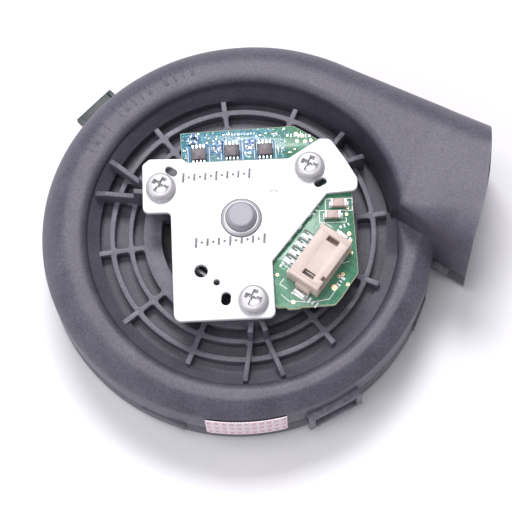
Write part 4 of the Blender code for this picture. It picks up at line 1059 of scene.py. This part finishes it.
# outlines round the small devices
for x, y, lx, ly in ((-8.4, 13.6, 3.7, 4.3), (-1.9, 14.25, 3.7, 4.3), (4.6, 14.45, 3.7, 4.3), (-9.4, 17.5, 2.3, 1.0), (-9.5, 16.2, 2.3, 1.0),
                     (-5.4, 15.3, 1.0, 2.3), (-4.2, 15.3, 1.0, 2.3), (1.0, 15.6, 1.0, 2.3), (2.2, 15.8, 1.0, 2.3)):
    for dx, dy, wx, wy in ((0, ly / 2, lx, 0.2), (0, -ly / 2, lx, 0.2), (lx / 2, 0, 0.2, ly), (-lx / 2, 0, 0.2, ly)):
        strip((x + dx, y + dy), 3.0, wx, wy, BLUE, P)
for x, y in ((-8.4, 13.6), (-1.9, 14.25), (4.6, 14.45)):
    strip((x - 2.1, y), 3.0, 0.14, 3.4, SILK, P)
    strip((x + 2.1, y), 3.0, 0.14, 3.4, SILK, P)
for x, y in ((-9.4, 17.5), (-9.5, 16.2)):
    for dy in (-0.55, 0.55):
        strip((x, y + dy), 3.0, 2.1, 0.12, SILK, P)
# rows of plain dashes where the board has its printing
for x0, y0, a, n, step, tall_ in ((10.9, -14.9, -36, 6, 0.85, 1.2), (18.2, -13.9, 55, 4, 0.75, 0.9), (9.0, 17.6, -2, 7, 0.72, 0.8),
                                  (-2.5, 17.9, 2, 9, 0.62, 0.5), (19.2, -1.6, 20, 3, 0.8, 0.8), (7.6, -9.3, 52, 4, 0.6, 0.7),
                                  (13.9, 1.2, 60, 3, 0.9, 1.0), (11.4, -10.8, -34, 2, 0.9, 1.1)):
    d = polar(1, a)
    for k in range(n):
        q = Vector((x0, y0)) + d * (step * k)
        strip(q, a, 0.3 if k % 3 else 0.5, tall_ * (1.0 if k % 2 else 0.7), SILK, P)
P.add(tube([(8.0, -8.4, ZT + 0.03), (8.9, -9.1, ZT + 0.03), (8.2, -10.2, ZT + 0.03), (7.3, -9.5, ZT + 0.03)], 0.08, 5, closed=True), SILK)
P.add(tube([(7.6, -15.2, ZT + 0.03), (9.2, -16.6, ZT + 0.03), (13.6, -16.8, ZT + 0.03), (16.8, -16.2, ZT + 0.03), (18.6, -13.6, ZT + 0.03)], 0.09, 5),
      SILK)
P.add(tube([(20.9, -8.6, ZT + 0.02), (18.6, -9.2, ZT + 0.02), (17.4, -10.9, ZT + 0.02)], 0.08, 5), SILK)
P.done()

P = Piece("board_pads_vias")
solder = random.Random(7)
for x, y, r in ((11.9, 17.5, 0.4), (10.7, 17.9, 0.38), (10.9, 16.4, 0.36), (12.5, 16.3, 0.38), (13.6, 16.5, 0.34),
                (20.8, -3.0, 0.4), (21.0, -4.3, 0.38), (19.9, -3.6, 0.34), (20.4, 1.0, 0.32), (20.6, 2.3, 0.3),
                (8.6, -4.6, 0.36), (9.4, -4.0, 0.34), (8.2, -5.6, 0.34), (18.7, -11.6, 0.36), (19.5, -11.2, 0.34),
                (9.9, -16.7, 0.42), (20.4, -13.3, 0.34), (14.2, 2.9, 0.3), (13.2, 1.9, 0.3), (6.9, -11.2, 0.34), (21.2, -6.9, 0.3)):
    P.add(spin(soft([(r, ZT + 0.04), (r, ZT - 0.02), (r * 0.42, ZT - 0.02), (r * 0.42, ZT + 0.04)], 0.015, 1), 28, (x, y, 0)), COPPER)
    P.add(spin([(0, ZT + 0.012), (r * 0.44, ZT + 0.012), (r * 0.44, ZT - 0.02), (0, ZT - 0.02)], 20, (x, y, 0), closed=False), EPOXY)
P.add(spin(soft([(0, ZT + 0.05), (0.62, ZT + 0.05), (0.62, ZT - 0.02), (0, ZT - 0.02)], 0.02, 1, False), 32, (17.8, -13.9, 0), closed=False), COPPER)
# dark slots and pads under the header's tails and tabs
for i in range(4):
    c = h_mid + hu * ((i - 1.0) * 2.0) - hv * 5.1
    strip(c, HEAD_A, 0.82, 2.9, DARKGREEN, P, tall=0.02)
for i in range(4):
    c = h_mid + hu * ((i - 1.5) * 2.0) - hv * 4.9
    strip(c, HEAD_A, 0.95, 2.5, TIN, P, tall=0.06)
for s in (-1, 1):
    c = h_mid + hu * (s * (H_LEN / 2 + 1.35)) + hv * 0.3
    strip(c, HEAD_A, 1.3, 3.0, TIN, P, tall=0.06)
# scattered pads of the small devices behind the plate
taken = [(-8.4, 13.6, 2.3), (-1.9, 14.25, 2.3), (4.6, 14.45, 2.3)]
n_pad = 0
while n_pad < 240:
    x = solder.uniform(-11.6, 8.6 if n_pad % 4 else 14.2)
    y = solder.uniform(12.9, 18.1 + (x + 12.1) * 0.055)
    if any(abs(x - tx) < tr and abs(y - ty) < tr for tx, ty, tr in taken) or y > 19.2 - max(0.0, x - 10.0) * 0.75:
        continue
    w, h = solder.choice(((0.30, 0.2), (0.42, 0.16), (0.16, 0.45), (0.2, 0.2), (0.7, 0.13), (0.13, 0.6)))
    strip((x, y), 3.0, w, h, (SILK, CYAN, BLUE, CYAN, TIN)[n_pad % 5], P, tall=0.035)
    n_pad += 1
P.done()

# ------------------------------------------------------------------ driver chips with leads
for n, (x, y) in enumerate(((-8.4, 13.6), (-1.9, 14.25), (4.6, 14.45))):
    P = Piece("driver_chip_%d_case" % (n + 1))
    P.add(box((3.0, 2.5, 0.85), (x, y, hz0 + 0.45), turn=3.0, bevel=0.1, seg=2, top=(0.94, 0.93)), EPOXY)
    d, e = polar(1, 3.0), polar(1, 93.0)
    q = Vector((x, y)) - d * 1.0 + e * 0.75
    P.add(spin(soft([(0.0, hz0 + 0.865), (0.24, hz0 + 0.865), (0.24, hz0 + 0.88), (0.17, hz0 + 0.885), (0.0, hz0 + 0.875)], 0.005, 1, False), 20,
               (q.x, q.y, 0), closed=False), STAMP_AND_SHADE)
    for s in (-1, 1):
        for i in range(4):
            b = Vector((x, y)) + d * ((i - 1.5) * 0.72) + e * (s * 1.42)
            P.add(box((0.34, 0.5, 0.12), (b.x, b.y, hz0 + 0.3), turn=3.0, bevel=0.04, seg=1), TIN)
            f = b + e * (s * 0.26)
            P.add(box((0.34, 0.12, 0.5), (f.x, f.y, hz0 + 0.1), turn=3.0, bevel=0.04, seg=1), TIN)
            f = b + e * (s * 0.52)
            P.add(box((0.42, 0.62, 0.14), (f.x, f.y, ZT + 0.09), turn=3.0, bevel=0.05, seg=1), SILK if s < 0 else TIN)
    P.done(["driver_chip_%d" % (n + 1)])

# ------------------------------------------------------------------ capacitors
for n, (x, y) in enumerate(((18.9, 3.0), (17.7, 0.6))):
    P = Piece("bulk_capacitor_%d_body" % (n + 1))
    P.add(box((2.3, 1.55, 1.24), (x, y, hz0 + 0.64), turn=1.5, bevel=0.12, seg=2), CERAMIC)
    d = polar(1, 1.5)
    for s in (-1, 1):
        c = Vector((x, y)) + d * (s * 1.32)
        P.add(box((0.56, 1.6, 1.3), (c.x, c.y, hz0 + 0.65), turn=1.5, bevel=0.16, seg=3), TIN)
        c = Vector((x, y)) + d * (s * 1.75)
        P.add(box((0.7, 1.5, 0.34), (c.x, c.y, ZT + 0.16), turn=1.5, bevel=0.14, seg=2, top=(0.3, 0.8)), TIN)
    P.done(["bulk_capacitor_%d" % (n + 1)])

for n, (x, y, t) in enumerate(((-9.4, 17.5, 3), (-9.5, 16.2, 3), (-5.4, 15.3, 93), (-4.2, 15.3, 93), (1.0, 15.6, 93), (2.2, 15.8, 93))):
    P = Piece("small_passive_%d_body" % (n + 1))
    P.add(box((0.62, 0.5, 0.34), (x, y, hz0 + 0.2), turn=t, bevel=0.05), RESIST)
    d = polar(1, t)
    for s in (-1, 1):
        c = Vector((x, y)) + d * (s * 0.4)
        P.add(box((0.22, 0.55, 0.4), (c.x, c.y, hz0 + 0.2), turn=t, bevel=0.06), TIN)
        c = Vector((x, y)) + d * (s * 0.62)
        P.add(box((0.5, 0.6, 0.3), (c.x, c.y, ZT + 0.14), turn=t, bevel=0.1, top=(0.5, 0.8)), SILK)
    P.done(["small_passive_%d" % (n + 1)])

# ------------------------------------------------------------------ header


def hbox(u0, v0, z, size, bevel=0.1, seg=2, top=(1, 1)):
    c = h_mid + hu * u0 + hv * v0
    return box(size, (c.x, c.y, hz0 + z), turn=HEAD_A, bevel=bevel, seg=seg, top=top)


body = hbox(0, 0, H_TALL / 2, (H_LEN, H_DEEP, H_TALL), 0.22, 3)
cuts = [hbox(0, 1.1, H_TALL / 2, (H_LEN - 2.0, H_DEEP, H_TALL - 1.4), 0)]
for s in (-1, 1):
    cuts.append(hbox(s * 4.0, 0.2, H_TALL, (1.1, 2.5, 3.0), 0))
cuts.append(hbox(-3.3, 3.3, H_TALL, (0.9, 1.3, 1.5), 0))
for i in range(4):
    cuts.append(hbox((i - 1.5) * 2.0, -(H_DEEP / 2 - 0.6), 1.55, (1.1, 6.0, 1.1), 0))
body = boolean(body, cuts)
P = Piece("header_shell")
P.add(bevelled(body, 0.08, 2, 40.0), NYLON)
for s in (-1, 1):
    P.add(hbox(s * (H_LEN / 2 + 0.2), 0.3, 1.2, (1.0, 3.2, 2.4), 0.15), NYLON)
    P.add(hbox(s * (H_LEN / 2 - 0.35), -3.3, 2.0, (0.9, 0.9, 4.0), 0.15), NYLON)
    P.add(hbox(s * 4.9, 0.2, 4.55, (0.45, 5.6, 0.35), 0.1), NYLON)
P.done(["header_housing"], angle=30.0)
for i in range(4):
    P = Piece("header_pin_%d" % (i + 1))
    u0 = (i - 1.5) * 2.0
    P.add(hbox(u0, -1.6, 1.55, (0.5, 6.4, 0.5), 0.1, 2), TIN)
    P.add(hbox(u0, -4.55, 1.0, (0.72, 0.5, 1.55), 0.1, 2), TIN)
    P.add(hbox(u0, -5.1, 0.2, (0.8, 2.1, 0.36), 0.1, 2), TIN)
    P.add(hbox(u0, -5.15, -0.13, (1.1, 2.7, 0.3), 0.12, 2, (0.8, 0.85)), SILK)
    P.done(["header_contact_%d" % (i + 1)])
for n, s in enumerate((-1, 1)):
    P = Piece("header_lug_%d" % (n + 1))
    P.add(hbox(s * (H_LEN / 2 + 1.35), 0.3, 0.5, (0.62, 2.4, 0.95), 0.12, 2), TIN)
    P.add(hbox(s * (H_LEN / 2 + 1.5), 0.3, -0.08, (1.2, 2.8, 0.4), 0.15, 2, (0.5, 0.8)), TIN)
    P.done(["header_tab_%d" % (n + 1)])

# ================================================================== label
a0, a1, lo, hi = -101.3, -77.0, -11.2, -2.2
bm = bmesh.new()
uvl = bm.loops.layers.uv.new("UVMap")
NL = 28
cols = []
for k in range(NL + 1):
    a = a0 + (a1 - a0) * k / NL
    r = table(WALL_R, a) + GAP
    soft_in = 0.12 if k in (0, NL) else 0.0
    zz = [(r, lo), (r + 0.2 - soft_in, lo), (r + 0.2 - soft_in, lo + 3), (r + 0.2 - soft_in, lo + 6), (r + 0.2 - soft_in, hi), (r, hi)]
    cols.append([bm.verts.new(polar(rr, a, z)) for rr, z in zz])
for k in range(NL):
    for i in range(6):
        j = (i + 1) % 6
        f = bm.faces.new((cols[k][i], cols[k + 1][i], cols[k + 1][j], cols[k][j]))
        zs = [(k, i), (k + 1, i), (k + 1, j), (k, j)]
        for lp, (kk, ii) in zip(f.loops, zs):
            z = cols[kk][ii].co.z
            lp[uvl].uv = (kk / NL, (z - lo) / (hi - lo))
bm.faces.new(cols[0])
bm.faces.new(cols[-1][::-1])
P = Piece("rating_label_paper")
P.bm.free()
P.bm = bmesh.new()
P.bm.loops.layers.uv.new("UVMap")
P.add(mesh_of(bm), LABEL)
P.done(["rating_label"], angle=50.0)

# ================================================================== fan and motor
P = Piece("impeller_wheel", "rotor")
P.add(spin(soft([(1.5 + GAP, -5.0), (R_IMP, -5.0), (R_IMP, -6.2), (7.2, -6.2), (5.4, -7.0), (4.0, -9.5), (1.5 + GAP, -9.5)], 0.3, 4), 144), FAN)


def blade_line():
    a_, b_ = [], []
    for k in range(15):
        f = k / 14
        r = 15.8 + (R_IMP - 0.3 - 15.8) * f
        th = 0.5 * (0.45 + 0.55 * min(f * 4, 1.0, (1 - f) * 6 + 0.3))
        nn = polar(th, -38.0 * f ** 0.9 + 90 - 25)
        c = polar(r, -38.0 * f ** 0.9)
        a_.append(c + nn)
        b_.append(c - nn)
    return a_ + b_[::-1]


bl = blade_line()
for k in range(N_BLADES):
    rot = Matrix.Rotation(2 * math.pi * k / N_BLADES, 2)
    P.add(plate([[rot @ q for q in bl]], -13.0, -6.0, 0.1, 1), FAN)
P.done(["impeller"])
P = Piece("impeller_cover_ring", "rotor")
P.add(spin(soft([(R_IMP, -13.3), (R_IMP, -14.1), (18.8, -15.1), (17.7, -15.8), (17.3, -15.8), (17.3, -15.0), (18.4, -13.9), (19.8, -13.3)],
                0.18, 3), 144), FAN)
P.done(["impeller_shroud"])
P = Piece("rotor_cup_shell", "rotor")
P.add(spin(soft([(13.0, 6.2), (13.0, -3.9), (12.4, -4.5), (1.5 + GAP, -4.5), (1.5 + GAP, -3.4), (12.2, -3.4), (12.2, 6.2)], 0.12, 3), 120), CUP)
P.done(["rotor_cup"])
P = Piece("rotor_magnet_ring", "rotor")
P.add(spin(soft([(11.9, 5.9), (11.9, -1.0), (11.0, -1.0), (11.0, 5.9)], 0.15, 2), 96), FERRITE)
P.done(["rotor_magnet"])
P = Piece("motor_shaft_rod", "rotor")
P.add(spin(soft([(0, 10.4), (1.2, 10.4), (1.5, 10.1), (1.5, -9.6), (1.2, -9.9), (0, -9.9)], 0.1, 2, False), 48, closed=False), STEEL)
P.done(["motor_shaft"])
for nm, z0 in (("upper", 4.4), ("lower", -2.2)):
    P = Piece(nm + "_outer_race")
    P.add(spin(soft([(3.5, z0 + 3), (3.5, z0), (2.85, z0), (2.85, z0 + 3)], 0.12, 2), 64), STEEL)
    P.done([nm + "_bearing_outer_ring"])
    P = Piece(nm + "_inner_race", "rotor")
    P.add(spin(soft([(2.35, z0 + 3), (2.35, z0), (1.5 + GAP, z0), (1.5 + GAP, z0 + 3)], 0.12, 2), 64), STEEL)
    P.done([nm + "_bearing_inner_ring"])
P = Piece("preload_wave_washer", "rotor")
P.add(spin(soft([(2.6, -2.55), (2.6, -2.85), (1.5 + GAP, -2.85), (1.5 + GAP, -2.55)], 0.06, 2), 64), STEEL)
P.done(["preload_washer"])
P = Piece("bearing_tube_barrel")
P.add(spin(soft([(6.4, 7.7), (6.4, 7.0), (4.7, 6.8), (4.7, -2.3), (3.8, -2.3), (3.8, 7.7)], 0.15, 3), 72), BRASS)
P.done(["bearing_tube"])

core, tooth_w, shoe, pitch = [], 1.8, 0.9, 360 / N_SLOTS
for i in range(N_SLOTS):
    a = pitch * i
    ru, rb = 10.5, 6.4
    hs = pitch / 2 - 3.2
    ua, va = polar(1, a), polar(1, a + 90)
    core += [ua * rb - va * (tooth_w / 2), ua * (ru - shoe - 0.25) - va * (tooth_w / 2), polar(ru - shoe, a - hs)]
    core += [polar(ru, a - hs + 2 * hs * k / 8) for k in range(9)]
    core += [polar(ru - shoe, a + hs), ua * (ru - shoe - 0.25) + va * (tooth_w / 2), ua * rb + va * (tooth_w / 2)]
P = Piece("stator_lamination_stack")
for k in range(6):
    z = 0.8 + 0.6 * k
    P.add(plate([core, circle(5.0, 64)], z, z + 0.6, 0.05, 1), IRON)
P.done(["stator_core"])
for nm, z0, z1 in (("upper", 4.7, 5.1), ("lower", 0.1, 0.5)):
    P = Piece(nm + "_insulator_ring")
    P.add(plate([circle(6.2, 64), circle(5.0, 64)], z0, z1, 0.08, 2), BONE)
    P.done([nm + "_insulator"])
for i in range(N_SLOTS):
    a = pitch * i
    pts = []
    turns, n_ = 7, 20
    for k in range(turns * n_ + 1):
        w = 2 * math.pi * k / n_
        cw, sw = math.cos(w), math.sin(w)
        y = 1.5 * math.copysign(abs(cw) ** 0.35, cw)
        z = 2.6 + 2.4 * math.copysign(abs(sw) ** 0.35, sw)
        x = 7.9 + (-0.82 + 1.64 * k / (turns * n_))
        q = polar(1, a) * x + polar(1, a + 90) * y
        pts.append((q.x, q.y, z))
    P = Piece("coil_%d_winding" % (i + 1))
    P.add(tube(pts, 0.13, 6), ENAMEL)
    P.add(tube([Vector(q) * 1.0 for q in pts[::1]], 0.08, 5), ENAMEL)
    P.done(["coil_%d" % (i + 1)])

# ================================================================== floor and light
fl = bmesh.new()
bmesh.ops.create_grid(fl, x_segments=1, y_segments=1, size=3.0)
floor_me = bpy.data.meshes.new("studio_floor")
fl.to_mesh(floor_me)
fl.free()
floor = fresh("studio_floor", floor_me)
floor.location = (0, 0, cad_box[0][2] - 0.0001)
FL = Mat("m_studio_floor")
FL.put("Base Color", FL.mix(FL.ramp(FL.noise(3.0, 2.0), (0.3, 0.0), (0.7, 1.0)), (0.90, 0.89, 0.93), (0.92, 0.915, 0.945)))
FL.put("Roughness", 0.75)
FL.put("Specular IOR Level", 0.25)
floor_me.materials.append(FL.m)

world = bpy.data.worlds.new("studio_world")
bpy.context.scene.world = world
world.use_nodes = True
bg = world.node_tree.nodes["Background"]
bg.inputs[0].default_value = (0.97, 0.96, 1.0, 1.0)
bg.inputs[1].default_value = 0.33


def area(name, at, target, size, watts, colour=(1, 1, 1)):
    li = bpy.data.lights.new(name, 'AREA')
    li.shape = 'RECTANGLE'
    li.size, li.size_y = size
    li.energy = watts
    li.color = colour
    ob = bpy.data.objects.new(name, li)
    ALL.objects.link(ob)
    ob.location = at
    ob.rotation_euler = (Vector(target) - Vector(at)).to_track_quat('-Z', 'Y').to_euler()
    return ob


area("key_softbox", (-0.05, 0.42, 0.80), (0, 0, 0), (0.34, 0.24), 5.2, (1.0, 0.985, 1.0))
area("fill_left", (-0.62, -0.32, 0.55), (0, 0, 0), (0.5, 0.5), 2.1, (0.98, 0.97, 1.0))
area("top_strip", (-0.10, -0.10, 0.95), (0, 0, 0), (0.6, 0.25), 2.6, (1.0, 0.99, 1.0))
